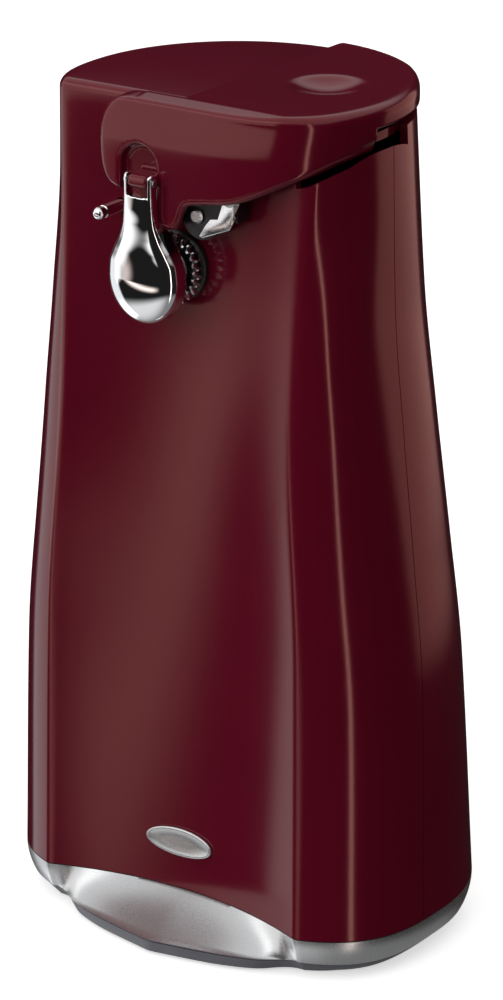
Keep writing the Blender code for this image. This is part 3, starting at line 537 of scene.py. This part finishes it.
def front_housing():
    """Front of the tower with the deck: hollow, recessed under the lever, with bosses and holes."""
    whole = tower("whole_tower", rim=EDGE_R)
    body = tower("front_shell", rim=EDGE_R)
    hollow = tower("hollow", SHELL, 0, CEILING_Z, 24)
    recess = box("recess", (SEAM_X, -80, RECESS_Z), (80, 80, 260))
    slot = box("rib_slot", (21, -23, 228), (28, -13, 235))
    behind = seam_block("behind", -GAP / 2, SPLIT_Z + GAP / 2, False)
    behind = shape(behind, "DIFFERENCE", prism_z("deck_core", plan(231, SHELL + GAP), 230.3, 260))
    shape(body, "DIFFERENCE", hollow, recess, well_tools(), slot, behind, solver="MANIFOLD")
    shape(body, "UNION", *[boss(f"boss_{i}", FRONT_BOSS_R, x, z, -60, BOSS_MEET_Y)
                           for i, (x, z) in enumerate(SCREWS)], solver="MANIFOLD")
    holes = [rod_y(f"hole_{i}", x, z, SCREW_HOLE_R, -20, 40, 24) for i, (x, z) in enumerate(SCREWS)]
    holes.append(rod_y("bush_hole", WHEEL_X, WHEEL_Z, BUSH_R + GAP, -60, -20))
    holes.append(rod_y("pin_hole", LEVER_X, LEVER_Z, LEVER_PIN_R + RUN, -60, -20))
    holes.append(rod_y("guide_hole", GUIDE_X, GUIDE_Z, GUIDE_R + GAP, -60, -28.9))
    shape(body, "DIFFERENCE", *holes, solver="MANIFOLD")
    carry_normals(body, whole)
    bpy.data.objects.remove(whole)
    return body


def rear_cover():
    """Back of the tower, with deep screw holes and the hole for the cord inlet."""
    whole = tower("whole_tower", rim=EDGE_R)
    body = tower("rear_shell", rim=EDGE_R)
    hollow = tower("hollow", SHELL, 0, 250, 24)
    ahead = seam_block("ahead", GAP / 2, 260, True)
    over = box("over", (-90, -90, SPLIT_Z - GAP / 2), (90, 90, 260))
    shape(body, "DIFFERENCE", hollow, ahead, over, well_tools(), solver="MANIFOLD")
    shape(body, "UNION", *[boss(f"boss_{i}", REAR_BOSS_R, x, z, BOSS_MEET_Y + GAP, 60)
                           for i, (x, z) in enumerate(SCREWS)], solver="MANIFOLD")
    holes = [rod_y(f"hole_{i}", x, z, SCREW_HOLE_R, 0, 40, 24) for i, (x, z) in enumerate(SCREWS)]
    holes += [rod_y(f"head_hole_{i}", x, z, HEAD_HOLE_R, HEAD_HOLE_Y, 60, 32)
              for i, (x, z) in enumerate(SCREWS)]
    holes.append(rod_y("inlet_hole", 0, INLET_Z, INLET_HOLE_R, 40, 60))
    shape(body, "DIFFERENCE", *holes, solver="MANIFOLD")
    carry_normals(body, whole)
    bpy.data.objects.remove(whole)
    return body


# ---------------------------------------------------------------- foot

def foot_plan(inset=0.0, spread=1.2):
    """Lower edge of the skirt: the sides of the tower drawn in, and a bulging front."""
    inner = plan(SKIRT_TOP_Z, SKIRT_INSET, soft=False)
    outer = plan(SKIRT_TOP_Z, soft=False)
    crease_x = along(CREASE_X_AT, SKIRT_TOP_Z)
    in_front = (np.abs(outer[:, 0]) < crease_x - 0.01) & (outer[:, 1] < -20)
    ring = inner.copy()
    ring[in_front, 0] = outer[in_front, 0]
    ring[in_front, 1] = along(BULGE_AT, np.abs(outer[in_front, 0]))
    ring = soften(ring, spread)
    return offset(ring, inset) if inset else ring


def skirt_rings(inset, drop, steps):
    """Rings of the skirt from its lower edge to its top: a hollow ledge in front, round sides."""
    low, high = foot_plan(inset), plan(SKIRT_TOP_Z, inset)
    crease_x = along(CREASE_X_AT, SKIRT_TOP_Z)
    ledge = np.clip((crease_x - np.abs(high[:, 0])) / 3, 0, 1) * (high[:, 1] < -20)
    rings = []
    for rise in np.linspace(0, 1, steps):
        side = math.sin(rise * math.pi / 2) ** 0.8
        front = rise + 0.10 * math.sin(rise * math.pi)
        share = ledge * front + (1 - ledge) * side
        ring = low + (high - low) * share[:, None]
        rings.append(at_height(ring, SKIRT_FOOT_Z + (SKIRT_TOP_Z - SKIRT_FOOT_Z) * rise - drop))
    return rings


def base_skirt():
    """Skirt round the foot, hollow and open through the middle, with a small lip below."""
    rings = skirt_rings(0.0, 0.0, 17)
    lip = rings[0].copy()
    lip[:, :2] = foot_plan(0.35)
    rings[0][:, 2] += 0.35
    skirt = skin("foot_skirt", [lip] + rings)
    hollow = skirt_rings(2.4, 2.0, 6)
    hollow[0][:, 2] = 0.0
    through = prism_z("through", plan(SKIRT_TOP_Z, 7.0), -5, 20)
    shape(skirt, "DIFFERENCE", skin("skirt_hollow", hollow), through, solver="MANIFOLD")
    skirt.data.set_sharp_from_angle(angle=math.radians(38))
    return skirt


def plate_ring(z):
    """The plate's edge runs inwards towards the table at the sides, and stands upright in front."""
    share = (PLATE_TOP_Z - z) / (PLATE_TOP_Z - PLATE_FOOT_Z)
    ring = foot_plan(0.4)
    taper = offset(ring, 0.4 + 3.4 * share ** 1.3)
    weight = np.clip((ring[:, 1] + 50) / 16, 0.12, 1.0)[:, None]
    return at_height(ring + (taper - ring) * weight, z)


def bottom_plate():
    """Plate under the skirt with a pocket for each rubber foot."""
    plate = skin("foot_plate", [plate_ring(z) for z in np.linspace(PLATE_FOOT_Z, PLATE_TOP_Z, 9)])
    pockets = []
    for number in range(1, 5):
        low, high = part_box(f"foot_{number}")
        middle = (low + high) / 2 / MM
        profile = ((0, FOOT_R + GAP), (POCKET_Z, FOOT_R + GAP))
        pockets.append(turned_z(f"pocket_{number}", middle.x, middle.y, profile))
    shape(plate, "DIFFERENCE", *pockets, solver="MANIFOLD")
    plate.data.set_sharp_from_angle(angle=math.radians(38))
    return plate


def rubber_foot(number):
    """Round pad with a soft lower edge and a shallow dimple underneath."""
    low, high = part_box(f"foot_{number}")
    middle = (low + high) / 2 / MM
    profile = ((0.0, 3.4), (0.0, FOOT_R - 0.7), (0.15, FOOT_R - 0.3), (0.5, FOOT_R), (1.4, FOOT_R),
               (1.6, FOOT_R - 0.2))
    foot = turned_z(f"rubber_pad_{number}", middle.x, middle.y, profile)
    dimple = turned_z("dimple", middle.x, middle.y, ((-1, 2.6), (0.5, 2.2)))
    shape(foot, "DIFFERENCE", dimple)
    foot.data.set_sharp_from_angle(angle=math.radians(40))
    return foot


def badge():
    """Plain oval plate with a soft raised rim and no mark."""
    around = circle(1.0, 96)
    profile = [(lift, BADGE_SIZE[0] - inset, BADGE_SIZE[1] - inset) for lift, inset in BADGE_RIM]
    profile += [(BADGE_FACE, 4.5, 1.5), (BADGE_FACE, 0.9, 0.3)]
    rings = []
    for lift, wide, tall in profile:
        x, z = BADGE_X + wide * around[:, 0], BADGE_Z + tall * around[:, 1]
        rings.append(np.column_stack([x, panel_y(x, z) - GAP - lift, z]))
    plate = skin("oval_badge", rings)
    plate.data.set_sharp_from_angle(angle=math.radians(50))
    return plate


# ---------------------------------------------------------------- hand lever

def hood_outline():
    """The hood seen from the front: a round left end about the lever's axis, and a lower edge with a
    tongue beside the arm."""
    angle = np.radians(np.linspace(90, 190, 40))
    end = np.stack([LEVER_X + HOOD_END_R * np.cos(angle), LEVER_Z + HOOD_END_R * np.sin(angle)], axis=1)
    lower = smooth_curve(HOOD_OUTLINE, 4)
    top = np.array([(60, lower[-1][1]), (60, 250), (LEVER_X, 250)])
    return np.concatenate([end, lower, top])


HOOD = hood_outline()


def lever_field(x, y, z):
    """The lever: a plate that wraps over the deck's right half, its side skirt, and the hood in front."""
    disc = np.hypot(x, y - LEVER_CENTRE_Y) - LEVER_R
    front = along(HOOD_FRONT_AT, z) - y
    wall = round_max(disc, front, CORNER_R)
    slope = z - LEVER_TOP_Z + np.maximum(HOOD_BACK_Y - 1.5 - y, 0) * TOP_SLOPE
    solid = round_max(wall, slope, FOLD_R + 1.6 * np.clip((x - 30) / 12, 0, 1))
    solid = round_max(solid, outline_field(HOOD, x, z), 2.0)
    edge_x = np.interp(z, *SEAM_EDGE_AT)
    solid = round_max(solid, np.minimum(edge_x - x, y - HOOD_BACK_Y), 0.5)

    # hollow under the plate and behind the hood
    hollow = np.maximum(np.maximum(wall + LEVER_WALL, 0.8 - x),
                        np.maximum(z - LEVER_UNDER_Z, y - SKIRT_END_Y - 1))
    under = np.maximum(np.maximum(z - LEVER_UNDER_Z, SKIRT_END_Y - y), -2 - x)
    solid = round_max(solid, -np.minimum(hollow, under), 0.8)

    # arched recess in the hood, and the lug in it that the arm hangs on
    half = RECESS_W / 2
    arch = np.hypot(x - RECESS_X, np.maximum(z - RECESS_TOP_Z + half, 0)) - half
    solid = round_max(solid, -round_max(arch, y - RECESS_Y, 1.6), 1.4)
    reach = np.clip(y - ARM_PIN_Y, 0, None)
    lug = np.hypot(y - ARM_PIN_Y - reach, z - ARM_PIN_Z) - LUG_R
    lug = np.maximum(lug, y - RECESS_Y - 1)
    solid = round_min(solid, round_max(lug, np.abs(x - ARM_X) - LUG_W / 2, 0.8), 0.8)
    bore = np.hypot(y - ARM_PIN_Y, z - ARM_PIN_Z) - ARM_PIN_R - RUN
    solid = np.maximum(solid, -np.maximum(bore, np.abs(x - ARM_X) - 4.5))

    # rib for the switch, thumb dish, and the hole for the lever's pin
    away = [np.abs(value - middle) - size for value, middle, size in zip((x, y, z), *RIB)]
    solid = np.minimum(solid, np.maximum(np.maximum(away[0], away[1]), away[2]))
    dish_x, dish_y, rim, deep = DISH
    ball = (rim ** 2 + deep ** 2) / (2 * deep)
    dish = np.sqrt((x - dish_x) ** 2 + (y - dish_y) ** 2 + (z - LEVER_TOP_Z - ball + deep) ** 2) - ball
    solid = round_max(solid, -dish, 0.7)
    pin = np.hypot(x - LEVER_X, z - LEVER_Z) - LEVER_PIN_R - RUN
    return np.maximum(solid, -np.maximum(pin, PIN_HOLE_BACK_Y - y))


def hand_lever():
    return field_surface("lever_shell", lever_field, (-23, -48, 205), (50, 42, 243), 0.7)


# ---------------------------------------------------------------- magnet arm

def arm_skin(x, y, z, wall):
    """Outer skin of the arm less a wall: a round cup with a domed front that narrows to a neck."""
    half = along(ARM_HALF_AT, z) - wall
    shoulder = along(ARM_SHOULDER_AT, z)
    dome = shoulder - along(ARM_FRONT_AT, z) - wall
    drop = np.minimum(z - CUP_Z, 0) / (CUP_DROP - wall)
    ahead = np.minimum(y - shoulder, 0) / dome
    return (np.sqrt(((x - ARM_X) / half) ** 2 + ahead ** 2 + drop ** 2) - 1) * half


def arm_field(x, y, z):
    """The arm: an open-backed cup and neck, with a forked ear round the lever's lug."""
    back = ARM_RIM_Y + (ARM_NECK_Y - ARM_RIM_Y) * np.clip((z - 205.4) / 3.2, 0, 1) ** 1.5
    solid = round_max(arm_skin(x, y, z, 0.0), y - back, 0.5)
    inner = np.maximum(arm_skin(x, y, z, ARM_WALL), y - ARM_RIM_Y - 3)
    solid = round_max(solid, -inner, 0.45)
    ear = np.hypot(y - ARM_PIN_Y, np.maximum(z - ARM_PIN_Z, 0)) - ARM_EAR_R
    solid = round_max(solid, ear - 5 * np.maximum(217.5 - z, 0), 0.5)
    fork = np.maximum(np.abs(x - ARM_X) - LUG_W / 2 - GAP, ARM_FORK_Z - z)
    solid = round_max(solid, -fork, 0.4)
    bore = np.hypot(y - ARM_PIN_Y, z - ARM_PIN_Z) - ARM_PIN_R - RUN
    return round_max(solid, -bore, 0.2)


def magnet_arm():
    return field_surface("arm_shell", arm_field, (-18, -50, 179), (8, -38, 224), 0.36)


# ---------------------------------------------------------------- drive, cutter and small parts

def tooth_ring(shrink, y):
    """Outline of the toothed wheel drawn in by a chamfer, at a depth."""
    root = WHEEL_R - WHEEL_TOOTH
    tip = WHEEL_R - 0.05
    tooth = ((0.0, root), (0.12, root), (0.42, tip), (0.5, WHEEL_R), (0.58, tip), (0.88, root))
    outline = []
    for i in range(WHEEL_TEETH):
        for turn, radius in tooth:
            angle = 2 * math.pi * (i + turn) / WHEEL_TEETH
            outline.append((WHEEL_X + (radius - shrink) * math.cos(angle),
                            WHEEL_Z + (radius - shrink) * math.sin(angle)))
    return at_depth(outline, y)


def drive_wheel():
    """Toothed steel wheel with chamfered teeth and a turned groove in its face."""
    low, high = (corner.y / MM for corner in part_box("drive_wheel"))
    chamfer = 0.45
    wheel = skin("toothed_wheel", [tooth_ring(chamfer, low), tooth_ring(0.0, low + 0.4),
                                   tooth_ring(0.0, high - 0.4), tooth_ring(chamfer, high)])
    groove = shape(rod_y("groove", WHEEL_X, WHEEL_Z, 7.2, low - 1, low + 0.35), "DIFFERENCE",
                   rod_y("core", WHEEL_X, WHEEL_Z, 5.6, low - 2, low + 2))
    shape(wheel, "DIFFERENCE", rod_y("bore", WHEEL_X, WHEEL_Z, SHAFT_R + 0.25, -60, 60), groove)
    wheel.data.set_sharp_from_angle(angle=math.radians(30))
    return wheel


def wheel_nut():
    low, high = (corner.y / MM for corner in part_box("wheel_nut"))
    six = circle(4.95, 6, WHEEL_X, WHEEL_Z)
    nut = prism_y("hex_nut", six, low, high)
    return finish_edges(nut, 0.15)


def drive_bezel():
    """Dark ring behind the wheel with a round front edge."""
    low, high = (corner.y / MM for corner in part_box("drive_bezel"))
    profile = ((low, BEZEL_R - 1.2), (low + 0.15, BEZEL_R - 0.5), (low + 0.6, BEZEL_R - 0.05),
               (high, BEZEL_R))
    bezel = turned_y("wheel_bezel", WHEEL_X, WHEEL_Z, profile, 72)
    shape(bezel, "DIFFERENCE", rod_y("bore", WHEEL_X, WHEEL_Z, BUSH_R + GAP, -60, 0))
    bezel.data.set_sharp_from_angle(angle=math.radians(40))
    return bezel


def cutter_mount():
    """Dark block that hangs from the lever's plate and carries the blade."""
    left = CUTTER_X - 4
    mount = rod_y("cutter_block", CUTTER_X + 1, CUTTER_Z - 0.4, 6.0, -38.5, -34.8, 64)
    stem = box("stem", (left, -38.5, CUTTER_Z), (MOUNT_RIGHT_X, -33.3, MOUNT_TAB_Z))
    tab = box("tab", (left, -34.6, MOUNT_TAB_Z - 1), (MOUNT_RIGHT_X, -33.3, LEVER_UNDER_Z - GAP))
    shape(mount, "UNION", stem, tab)
    shape(mount, "DIFFERENCE", rod_y("bore_1", CUTTER_X, CUTTER_Z, 1.3, -50, -30, 24),
          rod_y("bore_2", *BLADE_SCREW, 1.3, -50, -34.9, 24))
    return finish_edges(mount, 0.25)


def cutter_blade():
    """Flat pointed blade with a hole for its screw."""
    blade = prism_y("blade_plate", BLADE_OUTLINE, *BLADE_Y)
    shape(blade, "DIFFERENCE", rod_y("bore", *BLADE_SCREW, 1.3, -50, -30, 24))
    return finish_edges(blade, 0.12)


def guide_pin():
    """Chrome pin with a domed end and a fine groove behind it."""
    profile = [(GUIDE_TIP_Y + 1.2 * (1 - math.sin(angle)), GUIDE_R + 1.4 * (math.cos(angle) - 1))
               for angle in np.linspace(math.pi / 2, 0, 9)]
    profile += [(-41.2, GUIDE_R), (-41.0, GUIDE_R - 0.25), (-40.6, GUIDE_R - 0.25), (-40.4, GUIDE_R),
                (-29.2, GUIDE_R)]
    pin = turned_y("guide_pin_body", GUIDE_X, GUIDE_Z, profile)
    pin.data.set_sharp_from_angle(angle=math.radians(50))
    return pin


def cord_inlet():
    """Grommet in the rear cover that the cord would pass through."""
    y = along(REAR_Y_AT, INLET_Z)
    profile = ((y - 6, 5.0), (y - 5.6, 5.2), (y + 0.5, 5.2), (y + 0.5, 7.0), (y + 0.7, 7.2), (y + 1.0, 7.1),
               (y + 1.3, 6.7), (y + 1.4, 6.2))
    inlet = turned_y("inlet_grommet", 0, INLET_Z, profile, 72)
    shape(inlet, "DIFFERENCE", turned_y("bore", 0, INLET_Z, ((30, 3.2), (y + 0.8, 3.2), (y + 1.6, 3.9)), 48))
    inlet.data.set_sharp_from_angle(angle=math.radians(40))
    return inlet


# ---------------------------------------------------------------- materials

def shader_of(name):
    """New material with its node tree and its main shader."""
    made = bpy.data.materials.new(name)
    made.use_nodes = True
    tree = made.node_tree
    return made, tree, tree.nodes["Principled BSDF"]


def noise(tree, scale, detail=3.0, stretch=(1, 1, 1), rough=0.5):
    """Noise over the object's own coordinates, in cycles per metre, stretched along the axes."""
    place = tree.nodes.new("ShaderNodeTexCoord")
    mapping = tree.nodes.new("ShaderNodeMapping")
    mapping.inputs["Scale"].default_value = stretch
    texture = tree.nodes.new("ShaderNodeTexNoise")
    texture.inputs["Scale"].default_value = scale
    texture.inputs["Detail"].default_value = detail
    texture.inputs["Roughness"].default_value = rough
    tree.links.new(place.outputs["Object"], mapping.inputs["Vector"])
    tree.links.new(mapping.outputs["Vector"], texture.inputs["Vector"])
    return texture.outputs["Fac"]


def spread(tree, source, low, high, inner=(0.35, 0.65)):
    """Maps a noise to a range of values."""
    change = tree.nodes.new("ShaderNodeMapRange")
    change.inputs["From Min"].default_value, change.inputs["From Max"].default_value = inner
    change.inputs["To Min"].default_value, change.inputs["To Max"].default_value = low, high
    tree.links.new(source, change.inputs["Value"])
    return change.outputs["Result"]


def two_tone(tree, source, dark, light):
    mix = tree.nodes.new("ShaderNodeMix")
    mix.data_type = "RGBA"
    mix.inputs["A"].default_value = (*dark, 1)
    mix.inputs["B"].default_value = (*light, 1)
    tree.links.new(source, mix.inputs["Factor"])
    return mix.outputs["Result"]


def bump(tree, source, height, strength=1.0):
    made = tree.nodes.new("ShaderNodeBump")
    made.inputs["Distance"].default_value = height * MM
    made.inputs["Strength"].default_value = strength
    tree.links.new(source, made.inputs["Height"])
    return made.outputs["Normal"]


def surface(name, dark, light, roughness, metallic=0.0, patch=60, grain=900, height=0.01,
            stretch=(1, 1, 1), coat=0.0, coat_roughness=0.05, specular=0.5, sheen=0.0, tint=(1, 1, 1)):
    """General surface: slow colour patches, fine grain in its roughness, and a shallow bump."""
    made, tree, shader = shader_of(name)
    slow = spread(tree, noise(tree, patch, 2.0), 0.0, 1.0, (0.3, 0.7))
    fine = noise(tree, grain, 4.0, stretch)
    tree.links.new(two_tone(tree, slow, dark, light), shader.inputs["Base Color"])
    tree.links.new(spread(tree, fine, *roughness), shader.inputs["Roughness"])
    tree.links.new(bump(tree, fine, height), shader.inputs["Normal"])
    shader.inputs["Metallic"].default_value = metallic
    shader.inputs["Coat Weight"].default_value = coat
    shader.inputs["Coat Roughness"].default_value = coat_roughness
    shader.inputs["Specular IOR Level"].default_value = specular
    shader.inputs["Specular Tint"].default_value = (*tint, 1)
    shader.inputs["Sheen Weight"].default_value = sheen
    return made


def materials():
    """One material for each kind of surface; a noise gives each its own grain."""
    return {
        "red": surface("burgundy_gloss", (0.112, 0.0028, 0.0145), (0.122, 0.0032, 0.0162), (0.12, 0.16),
                       patch=30, grain=1400, height=0.0010, coat=0.10, coat_roughness=0.05, specular=0.60,
                       tint=(1.0, 0.50, 0.42)),
        "silver": surface("satin_silver", (0.60, 0.61, 0.62), (0.64, 0.65, 0.66), (0.27, 0.33), 0.9,
                          patch=25, grain=2600, height=0.0012),
        "grey": surface("moulded_grey", (0.13, 0.135, 0.16), (0.16, 0.165, 0.19), (0.42, 0.55),
                        patch=70, grain=2200, height=0.02),
        "black": surface("moulded_black", (0.008, 0.008, 0.009), (0.014, 0.014, 0.015), (0.32, 0.45),
                         patch=70, grain=2000, height=0.015),
        "chrome": surface("plated_chrome", (0.86, 0.87, 0.89), (0.90, 0.91, 0.92), (0.025, 0.05), 1.0,
                          patch=40, grain=500, height=0.0004),
        "steel": surface("ground_steel", (0.46, 0.46, 0.47), (0.58, 0.58, 0.59), (0.22, 0.38), 1.0,
                         patch=120, grain=1500, height=0.004, stretch=(0.3, 0.3, 2.5)),
        "bright_steel": surface("bright_steel", (0.66, 0.66, 0.68), (0.78, 0.78, 0.79), (0.14, 0.24), 1.0,
                                patch=150, grain=2500, height=0.003, stretch=(0.3, 0.3, 3.0)),
        "bronze": surface("sintered_bronze", (0.30, 0.19, 0.08), (0.42, 0.27, 0.12), (0.35, 0.55), 0.9,
                          patch=300, grain=6000, height=0.02),
        "nylon": surface("nylon", (0.62, 0.60, 0.53), (0.72, 0.70, 0.64), (0.35, 0.5),
                         patch=90, grain=2500, height=0.01),
        "copper": surface("lacquered_copper", (0.42, 0.13, 0.05), (0.62, 0.24, 0.10), (0.2, 0.4), 0.8,
                          patch=500, grain=2600, height=0.12, stretch=(0.05, 3.0, 3.0), coat=0.4),
        "ferrite": surface("sintered_ferrite", (0.03, 0.03, 0.034), (0.06, 0.06, 0.065), (0.5, 0.7), 0.2,
                           patch=200, grain=5000, height=0.03),
        "rubber": surface("soft_rubber", (0.012, 0.012, 0.013), (0.025, 0.025, 0.026), (0.6, 0.85),
                          patch=200, grain=4000, height=0.04, sheen=0.15),
        "laminated": surface("laminated_iron", (0.18, 0.18, 0.19), (0.34, 0.34, 0.35), (0.4, 0.6), 0.9,
                             patch=900, grain=900, height=0.05, stretch=(0.02, 2.2, 0.02)),
    }


NODE_LOOKS = {
    "steel": ("cutter_screw", "blade_screw", "magnet_arm_pin", "lever_pivot_pin", "drive_shaft",
              "gear_plate_front", "gear_plate_rear", "spacer_post_1", "spacer_post_2", "spacer_post_3",
              "spacer_post_4", "first_gear_axle", "second_gear_axle", "output_gear", "motor_pinion",
              "rotor_shaft", "motor_bracket", "motor_screw_1", "motor_screw_2", "housing_screw_1",
              "housing_screw_2", "housing_screw_3", "housing_screw_4", "lever_return_spring"),
    "laminated": ("rotor", "motor_stator"),
    "bronze": ("front_bush", "motor_bush_front", "motor_bush_rear"),
    "nylon": ("first_gear", "second_gear", "coil_bobbin", "switch_plunger"),
    "copper": ("field_coil",),
    "ferrite": ("magnet",),
    "grey": ("switch_rocker", "spring_seat"),
    "black": ("switch_body",),
}


def dress(piece, look, body, slot, *nodes):
    """Gives a piece its material and the body it moves with, and hides the CAD nodes it stands for; the slot
    argument is not used.
    """
    piece.data.materials.clear()
    piece.data.materials.append(look)
    for polygon in piece.data.polygons:
        polygon.material_index = 0
    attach(piece, body)
    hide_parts(*nodes)


def build_pieces(looks):
    dress(front_housing(), looks["red"], "housing", "housing_red", "front_housing")
    dress(rear_cover(), looks["red"], "housing", "housing_red", "rear_cover")
    dress(base_skirt(), looks["silver"], "housing", "satin_silver", "base_skirt")
    dress(bottom_plate(), looks["grey"], "housing", "base_grey", "bottom_plate")
    for number in range(1, 5):
        dress(rubber_foot(number), looks["rubber"], "housing", "rubber", f"foot_{number}")
    dress(badge(), looks["silver"], "housing", "satin_silver", "badge")
    dress(cord_inlet(), looks["black"], "housing", "black_plastic", "cord_inlet")
    dress(guide_pin(), looks["chrome"], "housing", "chrome", "guide_pin")
    dress(drive_bezel(), looks["black"], "housing", "black_plastic", "drive_bezel")
    dress(hand_lever(), looks["red"], "lever", "housing_red", "hand_lever")
    dress(cutter_mount(), looks["black"], "lever", "black_plastic", "cutter_mount")
    dress(cutter_blade(), looks["bright_steel"], "lever", "steel", "cutter_blade")
    dress(magnet_arm(), looks["chrome"], "arm", "chrome", "magnet_arm")
    dress(drive_wheel(), looks["bright_steel"], "drive", "steel", "drive_wheel")
    dress(wheel_nut(), looks["bright_steel"], "drive", "steel", "wheel_nut")


def dress_frame(looks):
    """Carried-over CAD nodes keep their shape and take a detailed material."""
    for look, names in NODE_LOOKS.items():
        for name in names:
            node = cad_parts[name]
            for slot in node.material_slots:
                slot.material = looks[look]


# ---------------------------------------------------------------- stage, light and camera

FLOOR_R = 6000.0
FLOOR_Z = -0.4


def floor():
    """Plain white table. It doesn't show in the gloss of the housing, which mirrors the studio instead."""
    outline = circle(FLOOR_R, 96)
    made = skin("floor", [at_height(outline, z) for z in (FLOOR_Z - 4.6, FLOOR_Z)])
    look, tree, shader = shader_of("pale_floor")
    tone = two_tone(tree, noise(tree, 1.5, 2.0), (0.88, 0.88, 0.88), (0.90, 0.90, 0.90))
    tree.links.new(tone, shader.inputs["Base Color"])
    shader.inputs["Roughness"].default_value = 0.9
    shader.inputs["Specular IOR Level"].default_value = 0.1
    shader.inputs["Emission Color"].default_value = (1, 1, 1, 1)
    shader.inputs["Emission Strength"].default_value = 0.55
    made.data.materials.append(look)
    made.visible_glossy = False
    made.visible_diffuse = False


def math_node(tree, operation, a, b=None):
    """Math node on numbers or sockets."""
    made = tree.nodes.new("ShaderNodeMath")
    made.operation = operation
    for socket, value in zip(made.inputs, (a, b)):
        if isinstance(value, (int, float)):
            socket.default_value = value
        elif value is not None:
            tree.links.new(value, socket)
    return made.outputs[0]


def towards(tree, direction, vector):
    """How far a direction leans along a fixed vector."""
    made = tree.nodes.new("ShaderNodeVectorMath")
    made.operation = "DOT_PRODUCT"
    tree.links.new(direction, made.inputs[0])
    made.inputs[1].default_value = vector
    return made.outputs["Value"]


def fade(tree, value, zero, one):
    """0 to 1 with soft ends as a value goes from one number to another."""
    made = tree.nodes.new("ShaderNodeMapRange")
    made.interpolation_type = "SMOOTHSTEP"
    ends = (0, 1) if one > zero else (1, 0)
    made.inputs["From Min"].default_value, made.inputs["From Max"].default_value = sorted((zero, one))
    made.inputs["To Min"].default_value, made.inputs["To Max"].default_value = ends
    tree.links.new(value, made.inputs["Value"])
    return made.outputs["Result"]


def soft_box(tree, direction, azimuth, elevation, tilt, half, soft, strength):
    """Glow of a rectangular softbox far away. Azimuth 0 is straight in front, and grows to the right;
    a positive tilt turns its right end up. Angles are in degrees."""
    azimuth, elevation, tilt = (math.radians(angle) for angle in (azimuth, elevation, tilt))
    ahead = Vector((math.sin(azimuth) * math.cos(elevation), -math.cos(azimuth) * math.cos(elevation),
                    math.sin(elevation)))
    level = Vector((math.cos(azimuth), math.sin(azimuth), 0))
    above = level.cross(ahead)
    above = above if above.z > 0 else -above
    across = level * math.cos(tilt) + above * math.sin(tilt)
    above = above * math.cos(tilt) - level * math.sin(tilt)
    side = math_node(tree, "ARCTAN2", towards(tree, direction, across), towards(tree, direction, ahead))
    rise = math_node(tree, "ARCSINE", towards(tree, direction, above))
    glow = strength
    for angle, reach, blur in zip((side, rise), half, soft):
        far, near = math.radians(reach + blur), math.radians(reach - blur)
        glow = math_node(tree, "MULTIPLY", fade(tree, math_node(tree, "ABSOLUTE", angle), far, near), glow)
    return glow


SOFT_BOXES = (
    # azimuth, elevation, tilt, half width and height, softness of both, strength, tint
    (-38, 18, 15, (44, 26), (3, 3), 1.15, (1.0, 0.98, 0.97)),       # large box, front left
    (-26, -21, -9, (23, 1.6), (9, 2.8), 1.7, (1.0, 0.84, 0.78)),    # dim strip low in front
    (-84, -30, 0, (16, 22), (3, 4), 0.95, (0.97, 0.98, 1.0)),       # box low on the left
    (54, -8, 0, (2.4, 36), (1.5, 8), 3.4, (1.0, 0.84, 0.80)),       # upright strip, front right
    (163, 1, 0, (22, 17), (2, 2.5), 0.8, (1.0, 0.52, 0.46)),        # box behind, right
)
AMBIENT = 0.012
OVERHEAD = 0.85
BELOW = (0.22, 0.55)     # table light in the metal: all round, and more at the front left


def studio():
    """Dark studio round the white table: soft boxes, light overhead, and the table's own light below."""
    world = bpy.data.worlds.new("studio")
    bpy.context.scene.world = world
    world.use_nodes = True
    tree = world.node_tree
    direction = tree.nodes.new("ShaderNodeTexCoord").outputs["Generated"]
    height = towards(tree, direction, (0, 0, 1))
    overhead = math_node(tree, "MULTIPLY", fade(tree, height, 0.30, 0.62), OVERHEAD)
    left = fade(tree, towards(tree, direction, (-0.6, -0.8, 0)), 0.1, 0.7)
    table = math_node(tree, "ADD", math_node(tree, "MULTIPLY", left, BELOW[1]), BELOW[0])
    table = math_node(tree, "MULTIPLY", table, fade(tree, height, -0.50, -0.66))
    even = math_node(tree, "ADD", math_node(tree, "ADD", overhead, table), AMBIENT)
    total = tree.nodes.new("ShaderNodeCombineColor")
    for socket in total.inputs[:3]:
        tree.links.new(even, socket)
    total = total.outputs["Color"]
    for *place, strength, tint in SOFT_BOXES:
        scale = tree.nodes.new("ShaderNodeVectorMath")
        scale.operation = "SCALE"
        scale.inputs[0].default_value = tint
        tree.links.new(soft_box(tree, direction, *place, strength), scale.inputs["Scale"])
        add = tree.nodes.new("ShaderNodeVectorMath")
        add.operation = "ADD"
        tree.links.new(total, add.inputs[0])
        tree.links.new(scale.outputs["Vector"], add.inputs[1])
        total = add.outputs["Vector"]
    backdrop = tree.nodes.new("ShaderNodeMix")
    backdrop.data_type = "RGBA"
    backdrop.inputs["B"].default_value = (1, 1, 1, 1)
    tree.links.new(tree.nodes.new("ShaderNodeLightPath").outputs["Is Camera Ray"], backdrop.inputs["Factor"])
    tree.links.new(total, backdrop.inputs["A"])
    tree.links.new(backdrop.outputs["Result"], tree.nodes["Background"].inputs["Color"])


def camera():
    """Camera to the front right of the opener, looking down a little."""
    data = bpy.data.cameras.new("camera")
    data.lens = 147.2
    data.sensor_width = 36
    made = bpy.data.objects.new("camera", data)
    made.location = (0.6127, -0.8729, 0.5129)
    made.rotation_euler = (math.pi / 2 - 0.354, 0, 0.613)
    bpy.context.scene.collection.objects.link(made)
    bpy.context.scene.camera = made


bpy.context.scene.view_settings.view_transform = "Standard"
camera()
studio()
floor()
LOOKS = materials()
build_pieces(LOOKS)
dress_frame(LOOKS)
